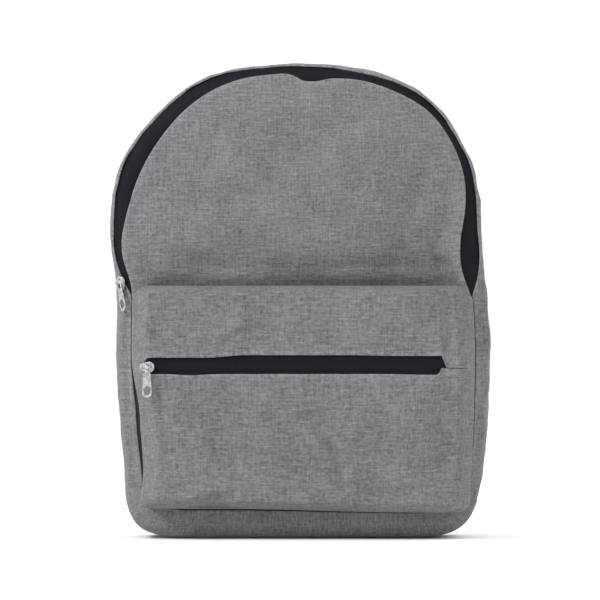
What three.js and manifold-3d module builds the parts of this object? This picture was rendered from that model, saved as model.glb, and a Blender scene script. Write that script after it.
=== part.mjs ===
// A zip-round daypack with a front pocket, two padded shoulder straps and a haul loop.
// It stands on its flat bottom: +X is the right side seen from the front, -Y the front, +Z up.
import * as THREE from 'three';
import { mergeVertices } from 'three/addons/utils/BufferGeometryUtils.js';
import Module from 'manifold-3d';

const wasm = await Module();
wasm.setup();

// ---------------------------------------------------------------- driving dimensions, mm
const HALF_WIDTH = 156;        // widest point of the side gussets
const ARCH_CENTRE = 230;       // height where the sides start to close in
const ARCH_RISE = 170;         // from there to the top, so the bag is 400 high
const ARCH_POWER = 2.62;       // squareness of the shoulders
const BASE_RISE = 200;         // height of the lower, squarer quarters
const BASE_POWER = 7.3;        // squareness of the bottom corners
const BASE_FLAT = 1;           // how much of the bottom's bow is pressed flat
const FRONT = -50;             // plane of the front panel at the bottom
const BACK = 50;               // outer face of the back panel
const LEAN = 0.06;             // how far the front leans back for each mm of height
const UPRIGHT = 39;            // everything behind this depth stays upright
const CLOTH = 2.3;             // fabric with its lining
const GAP = 0.3;               // clearance between neighbours
const EDGE_GAP = 1.2;           // the same along curved edges, whose facets cut corners

const CORNER_TOP = 34;         // height of the seam between bottom panel and side panels
const ZIP_END = 200;           // height of both ends of the main zip
const FOLD = 228;              // height where the front flap folds forward
const CROWN_RIM = 3.5;         // extra gusset seen above the zip at the top
const TAPE_FRONT = 12;         // inset of the front panel's edge, where the zip tape starts
const TAPE = 0.9;              // thickness of zip tape

const POCKET = { half: 145, low: 25, high: 212, depth: 26, side: 15, top: 14, bottom: 24, corner: 18 };
const POCKET_ZIP = { z: 144, half: 6.4, left: -139, right: 121 };
const POCKET_SLIDER_X = -127.5;

const ZIP_CIRCLE = { z: 246, radius: 151, drop: 31 };   // path of the main slider
const SLIDER_TILT = THREE.MathUtils.degToRad(56);       // how far the main slider faces sideways
const SLIDER_CLEAR = 2.3;                               // the circle stands this far off the tape
const SLIDER = { length: 12, width: 9.4, plate: 1.4, lift: 0.4, bar: 1.5 };

const STRAP = { width: 58, thickness: 10, steps: 14 };
const WEBBING = { width: 20, thickness: 1.6 };
const LOCK = { width: 31, thickness: 3, bar: 3.6, slot: 7 };
const LOOP = { root: 388, centre: 364, half: 32, drop: 18, width: 18, thickness: 2.2, y: 54.6 };

// ---------------------------------------------------------------- materials
const finish = (color, roughness, metalness = 0) => ({ color, roughness, metalness });
const SHELL = finish(0x84848a, 0.9);
const LINING = finish(0x4c4d52, 0.85);
const FOAM = finish(0x2f3033, 0.95);
const MESH_CLOTH = finish(0x33353a, 0.95);
const TAPE_CLOTH = finish(0x24262c, 0.7);
const COIL = finish(0x1d1f24, 0.5);
const METAL = finish(0xb9bbbe, 0.3, 1);
const STRAP_CLOTH = finish(0x3c3e44, 0.9);
const ACETAL = finish(0x18191c, 0.5);

const model = new THREE.Group();

function addPart(name, geometry, look, parent = model) {
  const mesh = new THREE.Mesh(geometry, new THREE.MeshStandardMaterial(look));
  mesh.name = name;
  parent.add(mesh);
  return mesh;
}

// ---------------------------------------------------------------- outline of the bag
const superQuarter = (angle, a, b, power) => [
  a * Math.cos(angle) ** (2 / power), b * Math.sin(angle) ** (2 / power)];

function rightHalf() {
  const steps = 240;
  const points = [];
  for (let k = 0; k <= steps; k++) {
    const [x, drop] = superQuarter(Math.PI / 2 * (1 - k / steps), HALF_WIDTH, BASE_RISE + BASE_FLAT, BASE_POWER);
    points.push(new THREE.Vector2(x, Math.max(0, BASE_RISE - drop)));
  }
  for (let k = 0; k <= steps; k++) {
    const [x, rise] = superQuarter(Math.PI / 2 * k / steps, HALF_WIDTH, ARCH_RISE, ARCH_POWER);
    points.push(new THREE.Vector2(x, ARCH_CENTRE + rise));
  }
  return points.filter((p, k) => k === 0 || p.distanceTo(points[k - 1]) > 1e-3);
}

const edge = rightHalf();
const runs = [0];
edge.slice(1).forEach((p, k) => runs.push(runs[k] + p.distanceTo(edge[k])));
const HALF_RUN = runs[runs.length - 1];

// The run along the right half, from the bottom centre, at which the outline reaches a height.
function runAt(z) {
  const k = edge.findIndex((p) => p.y >= z && p.y > 0);
  const before = edge[k - 1];
  return runs[k - 1] + (runs[k] - runs[k - 1]) * (z - before.y) / (edge[k].y - before.y);
}

// Place and outward normal on the outline; runs past the top come down the left side.
function station(run) {
  const turn = ((run % (2 * HALF_RUN)) + 2 * HALF_RUN) % (2 * HALF_RUN);
  const left = turn > HALF_RUN;
  const along = left ? 2 * HALF_RUN - turn : turn;
  let k = runs.findIndex((r) => r >= along);
  k = Math.min(Math.max(k, 1), edge.length - 1);
  const point = edge[k - 1].clone().lerp(edge[k], (along - runs[k - 1]) / (runs[k] - runs[k - 1]));
  const first = edge[Math.max(k - 4, 0)];
  const last = edge[Math.min(k + 3, edge.length - 1)];
  const normal = new THREE.Vector2(last.y - first.y, first.x - last.x).normalize();
  const side = left ? -1 : 1;
  return { x: side * point.x, z: point.y, nx: side * normal.x, nz: normal.y };
}

const leaned = (y, z) => y + LEAN * z * THREE.MathUtils.clamp((UPRIGHT - y) / (UPRIGHT - FRONT), 0, 1);
const rimExtra = (z, weight) => CROWN_RIM * weight * THREE.MathUtils.smoothstep(z, 290, 395);

// A point set in from the outline, at a depth between front and back.
function onShell(run, [inset, y, weight = 0]) {
  const at = station(run);
  const away = inset + rimExtra(at.z, weight);
  const z = at.z - at.nz * away;
  return new THREE.Vector3(at.x - at.nx * away, leaned(y, z), z);
}

// Half-width of a panel whose edge is set in from the outline.
function halfWidthAt(z, inset, weight = 0) {
  const side = edge.map((_, k) => onShell(runs[k], [inset, 0, weight]));
  const k = Math.max(1, side.findIndex((p) => p.z >= z));
  const span = side[k].z - side[k - 1].z;
  return THREE.MathUtils.lerp(side[k - 1].x, side[k].x, span > 0.01 ? (z - side[k - 1].z) / span : 1);
}

// ---------------------------------------------------------------- solids
// A closed solid between two grids of points with the same rows and columns.
function sheetSolid(outer, inner) {
  const rows = outer.length;
  const cols = outer[0].length;
  const points = [...outer.flat(), ...inner.flat()];
  const at = (layer, r, c) => layer * rows * cols + r * cols + c;
  const faces = [];
  const quad = (a, b, c, d) => faces.push(a, b, c, a, c, d);
  for (let r = 0; r < rows - 1; r++) {
    for (let c = 0; c < cols - 1; c++) {
      quad(at(0, r, c), at(0, r, c + 1), at(0, r + 1, c + 1), at(0, r + 1, c));
      quad(at(1, r, c), at(1, r + 1, c), at(1, r + 1, c + 1), at(1, r, c + 1));
    }
  }
  for (let c = 0; c < cols - 1; c++) {
    quad(at(0, 0, c + 1), at(0, 0, c), at(1, 0, c), at(1, 0, c + 1));
    quad(at(0, rows - 1, c), at(0, rows - 1, c + 1), at(1, rows - 1, c + 1), at(1, rows - 1, c));
  }
  for (let r = 0; r < rows - 1; r++) {
    quad(at(0, r, 0), at(0, r + 1, 0), at(1, r + 1, 0), at(1, r, 0));
    quad(at(0, r + 1, cols - 1), at(0, r, cols - 1), at(1, r, cols - 1), at(1, r + 1, cols - 1));
  }
  let volume = 0;
  for (let k = 0; k < faces.length; k += 3) {
    const [a, b, c] = faces.slice(k, k + 3).map((n) => points[n]);
    volume += a.dot(new THREE.Vector3().crossVectors(b, c));
  }
  if (volume < 0) {
    for (let k = 0; k < faces.length; k += 3) [faces[k + 1], faces[k + 2]] = [faces[k + 2], faces[k + 1]];
  }
  const geometry = new THREE.BufferGeometry();
  geometry.setAttribute('position', new THREE.Float32BufferAttribute(points.flatMap((p) => p.toArray()), 3));
  geometry.setIndex(faces);
  return geometry;
}

const spaced = (from, to, steps) => Array.from({ length: steps + 1 }, (_, k) => from + (to - from) * k / steps);

// A section of (inset, depth) points carried round part of the outline.
function band(outer, inner, from, to, steps) {
  const stations = spaced(from, to, steps);
  const grid = (section) => stations.map((run) => section.map((point) => onShell(run, point)));
  return sheetSolid(grid(outer), grid(inner));
}

// A panel between two faces, each face a function (x, z) -> y, narrowing as the outline does.
function panel(heights, columns, halfWidth, outerY, thickness) {
  const grid = (offset) => heights.map((z) => columns.map((u) => {
    const x = u * halfWidth(z);
    return new THREE.Vector3(x, outerY(x, z) + offset, z);
  }));
  return sheetSolid(grid(0), grid(thickness));
}

function toSolid(geometry) {
  const plain = geometry.clone();
  plain.deleteAttribute('normal');
  plain.deleteAttribute('uv');
  const merged = mergeVertices(plain, 1e-4);
  return new wasm.Manifold(new wasm.Mesh({
    numProp: 3,
    vertProperties: new Float32Array(merged.attributes.position.array),
    triVerts: new Uint32Array(merged.index.array),
  }));
}

function toGeometry(solid) {
  const { vertProperties, triVerts } = solid.getMesh();
  const geometry = new THREE.BufferGeometry();
  geometry.setAttribute('position', new THREE.Float32BufferAttribute(vertProperties, 3));
  geometry.setIndex(Array.from(triVerts));
  return geometry;
}

const joined = (...pieces) => toGeometry(pieces.map(toSolid).reduce((whole, piece) => whole.add(piece)));
const cut = (piece, tool) => toGeometry(toSolid(piece).subtract(toSolid(tool)));
const block = (x, y, z, at) => new THREE.BoxGeometry(x, y, z).translate(...at);

// ---------------------------------------------------------------- gussets, seams and zip
const SIDE_OUTER = [[12, -50], [6.5, -45.6], [2, -40.8], [0, -34], [0, 36], [1.5, 44], [6, 49.7]];
const SIDE_INNER = [[12, -47.7], [7.6, -43.6], [4, -39.4], [2.3, -33.6], [2.3, 35.5], [3.6, 42.4], [6, 47.4]];
const ARCH_OUTER = [[2.4, -40.2, 1], [0.8, -36, 0.7], [0, -30, 0.4], [0, 36], [1.5, 44], [6, 49.7]];
const ARCH_INNER = [[4.7, -39, 1], [3.1, -35, 0.7], [2.3, -29.5, 0.4], [2.3, 35.5], [3.6, 42.4], [6, 47.4]];

// A point on the zip's slanting face: across it from the front panel's edge, and below its surface.
const slant = (across, below) => [
  TAPE_FRONT + (below - across) * Math.SQRT1_2, FRONT + (below + across) * Math.SQRT1_2, 1];

const cornerRun = runAt(CORNER_TOP);
const zipRun = runAt(ZIP_END);
const foldRun = runAt(FOLD);
const overTop = (run) => 2 * HALF_RUN - run;

function addGussets() {
  addPart('gusset_bottom', band(SIDE_OUTER, SIDE_INNER, -cornerRun + GAP, cornerRun - GAP, 26), SHELL);
  addPart('gusset_right', band(SIDE_OUTER, SIDE_INNER, cornerRun, zipRun - GAP, 7), SHELL);
  addPart('gusset_left', band(SIDE_OUTER, SIDE_INNER, overTop(zipRun) + GAP, overTop(cornerRun), 7), SHELL);
  addPart('gusset_top', band(ARCH_OUTER, ARCH_INNER, zipRun, overTop(zipRun), 36), SHELL);
  const bindOuter = [[7.4, 34.4], [11, 34.4]];
  const bindInner = [[7.4, 39], [11, 39]];
  addPart('back_seam_binding', band(bindOuter, bindInner, runAt(40), overTop(runAt(40)), 44), LINING);
}

function addMainZip() {
  const tape = (from, to) => [[slant(from, 0), slant(to, 0)], [slant(from, TAPE), slant(to, TAPE)]];
  const coil = (from, to) => [[slant(from, 1.2), slant(to, 1.2)], [slant(from, 2.9), slant(to, 2.9)]];
  addPart('main_zip_tape_gusset', band(...tape(6.8, 13.1), zipRun, overTop(zipRun), 36), TAPE_CLOTH);
  addPart('main_zip_coil_gusset', band(...coil(6.9, 9), zipRun, overTop(zipRun), 36), COIL);
  addPart('main_zip_tape_flap', band(...tape(0.2, 6.4), foldRun + GAP, overTop(foldRun + GAP), 34), TAPE_CLOTH);
  addPart('main_zip_coil_flap', band(...coil(4.2, 6.3), foldRun + GAP, overTop(foldRun + GAP), 34), COIL);
  const endOuter = [slant(0.2, 0), slant(2, 0), slant(4.3, 0), slant(6.4, 0)];
  const endInner = [slant(0.2, TAPE), slant(4, TAPE), slant(4.3, 2.9), slant(6.4, 2.9)];
  addPart('main_zip_end_right', band(endOuter, endInner, zipRun, foldRun - GAP, 2), TAPE_CLOTH);
  addPart('main_zip_end_left', band(endOuter, endInner, overTop(foldRun - GAP), overTop(zipRun), 2), TAPE_CLOTH);
}

// ---------------------------------------------------------------- front and back panels
const EVEN = spaced(-1, 1, 10);
const frontEdge = (z) => halfWidthAt(z, TAPE_FRONT + EDGE_GAP, 1);
const FRONT_LOW = TAPE_FRONT + EDGE_GAP;
const FRONT_HIGH = ARCH_CENTRE + ARCH_RISE - TAPE_FRONT - EDGE_GAP - CROWN_RIM - 0.5;

function addFrontPanels() {
  const lowHeights = [FRONT_LOW + 0.5, 16, 22, 34, 60, 110, 160, 200, FOLD - GAP];
  const highHeights = [...spaced(FOLD + GAP, 350, 7), 362, 371, 377, 381, FRONT_HIGH];
  const flapFace = (x, z) => {
    const across = x / frontEdge(z);
    const up = (z - FOLD) / (FRONT_HIGH - FOLD);
    return leaned(FRONT, z) - 9 * (1 - across ** 4) * (1 - (2 * up - 1) ** 4);
  };
  addPart('front_panel_lower', panel(lowHeights, EVEN, frontEdge, (x, z) => leaned(FRONT, z), CLOTH), SHELL);
  addPart('front_flap', panel(highHeights, EVEN, frontEdge, flapFace, CLOTH), SHELL);
}

function addBackPanels() {
  const inset = 6 + EDGE_GAP;
  const top = ARCH_CENTRE + ARCH_RISE - inset;
  const heights = [inset + 0.5, 10, 16, 28, 60, 130, ARCH_CENTRE, 270, 305, 335, 360, 376, 386, 391, top - 0.4];
  const layer = (name, y, thickness, extra, look) => addPart(name, panel(
    heights.map((z) => THREE.MathUtils.clamp(z, heights[0] + extra, top - 0.4 - extra)).filter(
      (z, k, all) => k === 0 || z > all[k - 1]),
    [-1, -0.5, 0, 0.5, 1], (z) => halfWidthAt(z, inset + extra), () => y - thickness, thickness), look);
  layer('back_panel', BACK, 2, 0, MESH_CLOTH);
  layer('back_foam', BACK - 2 - GAP, 6, 0.8, FOAM);
  layer('back_lining', BACK - 8 - 2 * GAP, 1.5, 0.8, LINING);
}

// ---------------------------------------------------------------- front pocket
const rounded = (t) => (t >= 1 ? 1 : Math.sqrt(Math.max(0, t * (2 - t))));

// A point on the pocket's face; inside, the face is one cloth's thickness smaller all round.
function onPocket(u, z, skin) {
  const edgeGap = Math.min(POCKET.high - z, z - POCKET.low);
  const nearCorner = Math.max(0, POCKET.corner - edgeGap);
  const half = POCKET.half - POCKET.corner + Math.sqrt(POCKET.corner ** 2 - nearCorner ** 2);
  const x = u * half;
  const across = rounded((half - Math.abs(x)) / POCKET.side);
  const down = rounded((POCKET.high - z) / POCKET.top) * rounded((z - POCKET.low) / POCKET.bottom);
  const shrink = (POCKET.half - skin * 1.1) / POCKET.half;
  const inwards = z > POCKET_ZIP.z ? -1 : 1;
  const zIn = z + inwards * skin * 1.1 * Math.max(0, 1 - edgeGap / 30);
  const y = FRONT - GAP - (CLOTH - skin) - (POCKET.depth) * across * down;
  return new THREE.Vector3(x * shrink, leaned(FRONT, zIn) - FRONT + y, zIn);
}

const POCKET_COLUMNS = [1, 0.985, 0.965, 0.94, 0.9, 0.6, 0.3, 0, -0.3, -0.6, -0.9, -0.94, -0.965, -0.985, -1];

function pocketPiece(heights, columns = POCKET_COLUMNS, thickness = CLOTH) {
  const grid = (skin) => heights.map((z) => columns.map((u) => onPocket(u, z, skin)));
  return sheetSolid(grid(0), grid(thickness));
}

function addPocket() {
  const zipTop = POCKET_ZIP.z + POCKET_ZIP.half;
  const zipBottom = POCKET_ZIP.z - POCKET_ZIP.half;
  const { low, high, half } = POCKET;
  addPart('pocket_panel_upper', pocketPiece(
    [high, high - 1.2, high - 4, high - 8, high - POCKET.top, 180, zipTop + GAP]), SHELL);
  addPart('pocket_panel_lower', pocketPiece(
    [zipBottom - GAP, 100, 70, low + POCKET.bottom, low + 15, low + 8, low + 3, low + 0.8, low]), SHELL);
  const zipColumns = [POCKET_ZIP.left, -135, -130, -65, 0, 65, POCKET_ZIP.right].map((x) => x / half);
  const rim = POCKET_ZIP.half - GAP;
  const strip = (from, to, thickness) => pocketPiece(
    [POCKET_ZIP.z + from, POCKET_ZIP.z + to], zipColumns, thickness);
  const passage = block(SLIDER.length + 1, 8, 1.6, [POCKET_SLIDER_X, FRONT - POCKET.depth + 8, POCKET_ZIP.z]);
  addPart('pocket_zip_tape_upper', cut(strip(0.2, rim, TAPE), passage), TAPE_CLOTH);
  addPart('pocket_zip_tape_lower', cut(strip(-rim, -0.2, TAPE), passage), TAPE_CLOTH);
  const coil = (name, sign) => {
    const from = POCKET_SLIDER_X + SLIDER.length / 2 + 3;
    const to = POCKET_ZIP.right - 5;
    const at = [(from + to) / 2, pocketFaceY() + 2.4, POCKET_ZIP.z + sign * 1.25];
    addPart(name, block(to - from, 1.7, 2, at), COIL);
  };
  coil('pocket_zip_coil_upper', 1);
  coil('pocket_zip_coil_lower', -1);
  const tab = (from, to) => pocketPiece([zipTop, zipBottom], spaced(from / half, to / half, 3), CLOTH);
  addPart('pocket_zip_end_right', tab(POCKET_ZIP.right + GAP, half), SHELL);
  addPart('pocket_zip_end_left', tab(-half, POCKET_ZIP.left - GAP), SHELL);
}

// Depth of the pocket's outer face at the height of its zip.
const pocketFaceY = () => onPocket(0, POCKET_ZIP.z, 0).y;

// ---------------------------------------------------------------- sliders and pulls
// Sliders are drawn lying flat: X along the zip, Y across it, Z away from the tape.
function sliderPlate(z) {
  const half = SLIDER.width / 2;
  const nose = new THREE.Shape();
  nose.moveTo(-SLIDER.length / 2, -half * 0.62);
  nose.lineTo(SLIDER.length / 2 - half, -half);
  nose.absarc(SLIDER.length / 2 - half, 0, half, -Math.PI / 2, Math.PI / 2, false);
  nose.lineTo(-SLIDER.length / 2, half * 0.62);
  nose.closePath();
  return new THREE.ExtrudeGeometry(nose, { depth: SLIDER.plate, bevelEnabled: false, curveSegments: 6 })
    .translate(0, 0, z);
}

// The bridge: a bar bent to an arch over the plate.
function bridge(radius, centreHeight) {
  const foot = SLIDER.lift + SLIDER.plate / 2;
  const side = new THREE.Shape();
  side.moveTo(radius + SLIDER.bar / 2, foot);
  side.lineTo(radius + SLIDER.bar / 2, centreHeight);
  side.absarc(0, centreHeight, radius + SLIDER.bar / 2, 0, Math.PI, false);
  side.lineTo(-radius - SLIDER.bar / 2, foot);
  side.lineTo(-radius + SLIDER.bar / 2, foot);
  side.lineTo(-radius + SLIDER.bar / 2, centreHeight);
  side.absarc(0, centreHeight, radius - SLIDER.bar / 2, Math.PI, 0, true);
  side.lineTo(radius - SLIDER.bar / 2, foot);
  side.closePath();
  return new THREE.ExtrudeGeometry(side, { depth: 1.8, bevelEnabled: false, curveSegments: 8 })
    .rotateX(Math.PI / 2).translate(0, 0.9, 0);
}

// A flat pull tab with a long hole near its rounded free end, its top edge at the origin, hanging down -X.
function tabShape({ length, width, hole, rim }, neck) {
  const shape = new THREE.Shape();
  const half = width / 2;
  shape.moveTo(0, -neck / 2);
  shape.lineTo(0, neck / 2);
  shape.lineTo(-4, half * 0.74);
  shape.lineTo(-length + half, half);
  shape.absarc(-length + half, 0, half, Math.PI / 2, Math.PI * 1.5, false);
  shape.lineTo(-4, -half * 0.74);
  shape.closePath();
  const radius = half - rim;
  const slot = new THREE.Path();
  slot.absarc(-length + 1.5 * rim + radius, 0, radius, Math.PI / 2, Math.PI * 1.5, false);
  slot.absarc(-length + 1.5 * rim + hole - radius, 0, radius, -Math.PI / 2, Math.PI / 2, false);
  slot.closePath();
  shape.holes.push(slot);
  return shape;
}

const BRIDGE_LOW = 3.2;            // radius of the bridge on both sliders
const TAB = { length: 23.5, width: 8.4, thickness: 1.2, hole: 7.5, rim: 1.45 };
const EYE = { radius: 2.3, hole: 1.3, width: 2.2 };
const PULL_LIFT = THREE.MathUtils.degToRad(8);    // the main pull hangs this far off the tape
const PULL_TURN = THREE.MathUtils.degToRad(10);   // and is turned this far forwards on its bridge
const MAIN_PIVOT = SLIDER.lift + SLIDER.plate + GAP + TAB.thickness / 2;
const POCKET_PIVOT = SLIDER.lift + SLIDER.plate + GAP + EYE.radius;

function addPocketSlider() {
  const group = new THREE.Group();
  group.position.set(POCKET_SLIDER_X, pocketFaceY(), POCKET_ZIP.z);
  group.rotation.x = Math.PI / 2;
  model.add(group);
  const barHeight = POCKET_PIVOT - BRIDGE_LOW;
  const under = -TAPE - 3.4;
  addPart('pocket_slider', joined(
    sliderPlate(SLIDER.lift), bridge(BRIDGE_LOW, barHeight),
    block(4, 0.8, 5.6, [3, 0, -1.9]), sliderPlate(under - SLIDER.plate)), METAL, group);
  const eye = new THREE.Shape().absarc(0, 0, EYE.radius, 0, 2 * Math.PI, false);
  eye.holes.push(new THREE.Path().absarc(0, 0, EYE.hole, 0, 2 * Math.PI, true));
  const ring = new THREE.ExtrudeGeometry(eye, { depth: EYE.width, bevelEnabled: false, curveSegments: 8 })
    .rotateY(Math.PI / 2).translate(-EYE.width / 2, 0, POCKET_PIVOT);
  const tab = new THREE.ExtrudeGeometry(tabShape(TAB, 3),
    { depth: TAB.thickness, bevelEnabled: false, curveSegments: 8 })
    .rotateZ(Math.PI / 2).translate(0, -EYE.hole - 0.6, POCKET_PIVOT - TAB.thickness / 2);
  addPart('pocket_pull', joined(ring, tab), METAL, group);
}

function addMainSlider() {
  const angle = Math.asin(ZIP_CIRCLE.drop / ZIP_CIRCLE.radius);
  const radial = new THREE.Vector3(-Math.cos(angle), 0, -Math.sin(angle));
  const travel = new THREE.Vector3(radial.z, 0, -radial.x);
  const outward = radial.clone().multiplyScalar(Math.sin(SLIDER_TILT))
    .add(new THREE.Vector3(0, -Math.cos(SLIDER_TILT), 0));
  const across = new THREE.Vector3().crossVectors(outward, travel);
  const depth = slant(6.6, 0)[1];
  const group = new THREE.Group();
  group.position.set(radial.x * ZIP_CIRCLE.radius, 0, ZIP_CIRCLE.z - ZIP_CIRCLE.drop);
  group.position.y = leaned(depth, group.position.z);
  group.position.addScaledVector(outward, SLIDER_CLEAR);
  group.quaternion.setFromRotationMatrix(new THREE.Matrix4().makeBasis(travel, across, outward));
  model.add(group);
  addPart('main_slider', joined(sliderPlate(SLIDER.lift), bridge(BRIDGE_LOW, MAIN_PIVOT)), METAL, group);
  const outline = tabShape(TAB, 4.6);
  outline.holes.push(new THREE.Path([[-0.9, -1.4], [-4.4, -1.4], [-4.4, 1.4], [-0.9, 1.4]].map(
    (p) => new THREE.Vector2(...p))));
  addPart('main_pull', new THREE.ExtrudeGeometry(outline,
    { depth: TAB.thickness, bevelEnabled: false, curveSegments: 8 })
    .translate(-0.5 + BRIDGE_LOW, 0, -TAB.thickness / 2).rotateZ(PULL_TURN)
    .translate(-BRIDGE_LOW, 0, 0).rotateY(PULL_LIFT).translate(0, 0, MAIN_PIVOT), METAL, group);
}

// ---------------------------------------------------------------- harness
// A ribbon along a path of points: width across it, thickness along its normal.
function ribbon(centres, across, width, thickness, profile = [[-1, 1], [1, 1]]) {
  const tangents = centres.map((_, k) => new THREE.Vector3().subVectors(
    centres[Math.min(k + 1, centres.length - 1)], centres[Math.max(k - 1, 0)]).normalize());
  const face = (sign) => centres.map((centre, k) => {
    const normal = new THREE.Vector3().crossVectors(across, tangents[k]).normalize();
    const sideways = new THREE.Vector3().crossVectors(tangents[k], normal);
    const half = width(k / (centres.length - 1)) / 2;
    return profile.map(([u, full]) => centre.clone()
      .addScaledVector(sideways, u * half)
      .addScaledVector(normal, sign * full * thickness / 2));
  });
  return sheetSolid(face(1), face(-1));
}

function addStrap(side, name) {
  const point = (x, y, z) => new THREE.Vector3(side * x, y, z);
  const path = new THREE.CatmullRomCurve3([
    point(46, 59, 338), point(52, 76, 318), point(62, 89, 275), point(72, 93, 228),
    point(80, 87, 178), point(85, 74, 132), point(86, 68, 112)]);
  const acrossX = new THREE.Vector3(1, 0, 0);
  const centres = path.getSpacedPoints(STRAP.steps);
  const width = (t) => STRAP.width * (t < 0.8 ? 0.9 + 0.1 * Math.sin(Math.PI * t / 0.8) : 0.9 - 1.9 * (t - 0.8));
  const pad = [[-1, 0.3], [-0.86, 0.9], [0, 1], [0.86, 0.9], [1, 0.3]];
  addPart(`shoulder_strap_${name}`, ribbon(centres, acrossX, width, STRAP.thickness, pad), STRAP_CLOTH);

  // The webbing sewn down the strap's outer face, round the lock's top bar and back up.
  const end = path.getPoint(1);
  const down = path.getTangent(1);
  const rear = new THREE.Vector3().crossVectors(acrossX, down).normalize();
  if (rear.y < 0) rear.negate();
  const offset = STRAP.thickness / 2 + EDGE_GAP + WEBBING.thickness / 2;
  const bar = end.clone().addScaledVector(down, 13);
  const around = (angle, radius) => bar.clone()
    .addScaledVector(rear, Math.cos(angle) * radius).addScaledVector(down, Math.sin(angle) * radius);
  const wrap = Math.hypot(LOCK.thickness, LOCK.bar) / 2 + 2 * GAP + WEBBING.thickness / 2;
  const faceRun = [];
  for (const t of spaced(0.1, 0.99, 14)) {
    const normal = new THREE.Vector3().crossVectors(acrossX, path.getTangentAt(t)).normalize();
    if (normal.y < 0) normal.negate();
    faceRun.push(path.getPointAt(t).addScaledVector(normal, offset));
  }
  const sewn = [...faceRun, ...spaced(0, Math.PI, 6).map((a) => around(a, wrap)),
    around(Math.PI, wrap).addScaledVector(down, -5)];
  addPart(`strap_webbing_${name}`, ribbon(sewn, acrossX, () => WEBBING.width, WEBBING.thickness), STRAP_CLOTH);

  // Ladder lock: three bars and two slots.
  const middle = LOCK.bar + LOCK.slot;
  const height = 3 * LOCK.bar + 2 * LOCK.slot;
  const frame = new THREE.Shape();
  frame.moveTo(-LOCK.width / 2, -LOCK.bar / 2);
  frame.lineTo(LOCK.width / 2, -LOCK.bar / 2);
  frame.lineTo(LOCK.width / 2 - 2, height - LOCK.bar / 2);
  frame.lineTo(-LOCK.width / 2 + 2, height - LOCK.bar / 2);
  frame.closePath();
  for (const row of [0, 1]) {
    const low = LOCK.bar / 2 + row * middle;
    const half = WEBBING.width / 2 + 1.6;
    frame.holes.push(new THREE.Path([[-half, low], [-half, low + LOCK.slot], [half, low + LOCK.slot], [half, low]]
      .map((p) => new THREE.Vector2(...p))));
  }
  const lock = new THREE.Group();
  lock.position.copy(bar);
  const sideways = new THREE.Vector3().crossVectors(down, rear);
  lock.quaternion.setFromRotationMatrix(new THREE.Matrix4().makeBasis(sideways, down, rear.clone()));
  model.add(lock);
  addPart(`ladder_lock_${name}`, new THREE.ExtrudeGeometry(frame, { depth: LOCK.thickness, bevelEnabled: false })
    .translate(0, 0, -LOCK.thickness / 2), ACETAL, lock);

  // The adjusting webbing: from the anchor tab, behind the lock, round its middle bar, and down as a tail.
  const along = (t, n) => bar.clone().addScaledVector(down, t).addScaledVector(rear, n);
  const anchor = point(116, BACK + 4.5, 36);
  const turn = spaced(Math.PI, 0, 6).map((a) => along(
    middle - Math.sin(a) * wrap, Math.cos(a) * wrap));
  const run = [anchor, anchor.clone().lerp(along(height, -wrap - 1), 0.5), along(height - 2, -wrap - 0.4),
    ...turn, along(height - 2, wrap + 0.2), along(height + 14, wrap + 1), along(height + 32, wrap + 2)];
  addPart(`adjuster_webbing_${name}`, ribbon(run, acrossX, () => WEBBING.width, WEBBING.thickness), STRAP_CLOTH);

  const tab = new THREE.Shape([[-16, -12], [16, -12], [11, 10], [-11, 10]].map((p) => new THREE.Vector2(...p)));
  const patch = addPart(`anchor_tab_${name}`, new THREE.ExtrudeGeometry(tab, { depth: 2.6, bevelEnabled: false }),
    STRAP_CLOTH);
  patch.rotation.x = Math.PI / 2;
  patch.position.set(side * 116, BACK + GAP + 2.6, 28);
}

function addBackFittings() {
  const yoke = new THREE.Shape();
  yoke.moveTo(-78, 330);
  yoke.lineTo(78, 330);
  yoke.lineTo(64, 384);
  yoke.lineTo(-64, 384);
  yoke.closePath();
  addPart('strap_yoke', new THREE.ExtrudeGeometry(yoke, { depth: 2, bevelEnabled: false })
    .rotateX(Math.PI / 2).translate(0, BACK + GAP + 2, 0), STRAP_CLOTH);

  const path = [];
  const leg = (side) => new THREE.Vector3(side * LOOP.half, LOOP.y, LOOP.root);
  path.push(leg(-1));
  for (const angle of spaced(Math.PI, 2 * Math.PI, 12)) {
    path.push(new THREE.Vector3(
      LOOP.half * Math.cos(angle), LOOP.y, LOOP.centre + LOOP.drop * Math.sin(angle)));
  }
  path.push(leg(1));
  const inPlane = path.map((_, k) => new THREE.Vector3().subVectors(
    path[Math.min(k + 1, path.length - 1)], path[Math.max(k - 1, 0)]).normalize());
  const face = (dy) => path.map((p, k) => [-1, 1].map((u) => new THREE.Vector3(
    p.x - u * inPlane[k].z * LOOP.width / 2, p.y + dy, p.z + u * inPlane[k].x * LOOP.width / 2)));
  addPart('haul_loop', sheetSolid(face(-LOOP.thickness / 2), face(LOOP.thickness / 2)), STRAP_CLOTH);
}

addGussets();
addMainZip();
addFrontPanels();
addBackPanels();
addPocket();
addPocketSlider();
addMainSlider();
addStrap(-1, 'left');
addStrap(1, 'right');
addBackFittings();

export default model;
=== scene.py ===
import math
import bmesh
import bpy
import numpy as np
from mathutils import Matrix, Vector
from mathutils.geometry import tessellate_polygon


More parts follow.
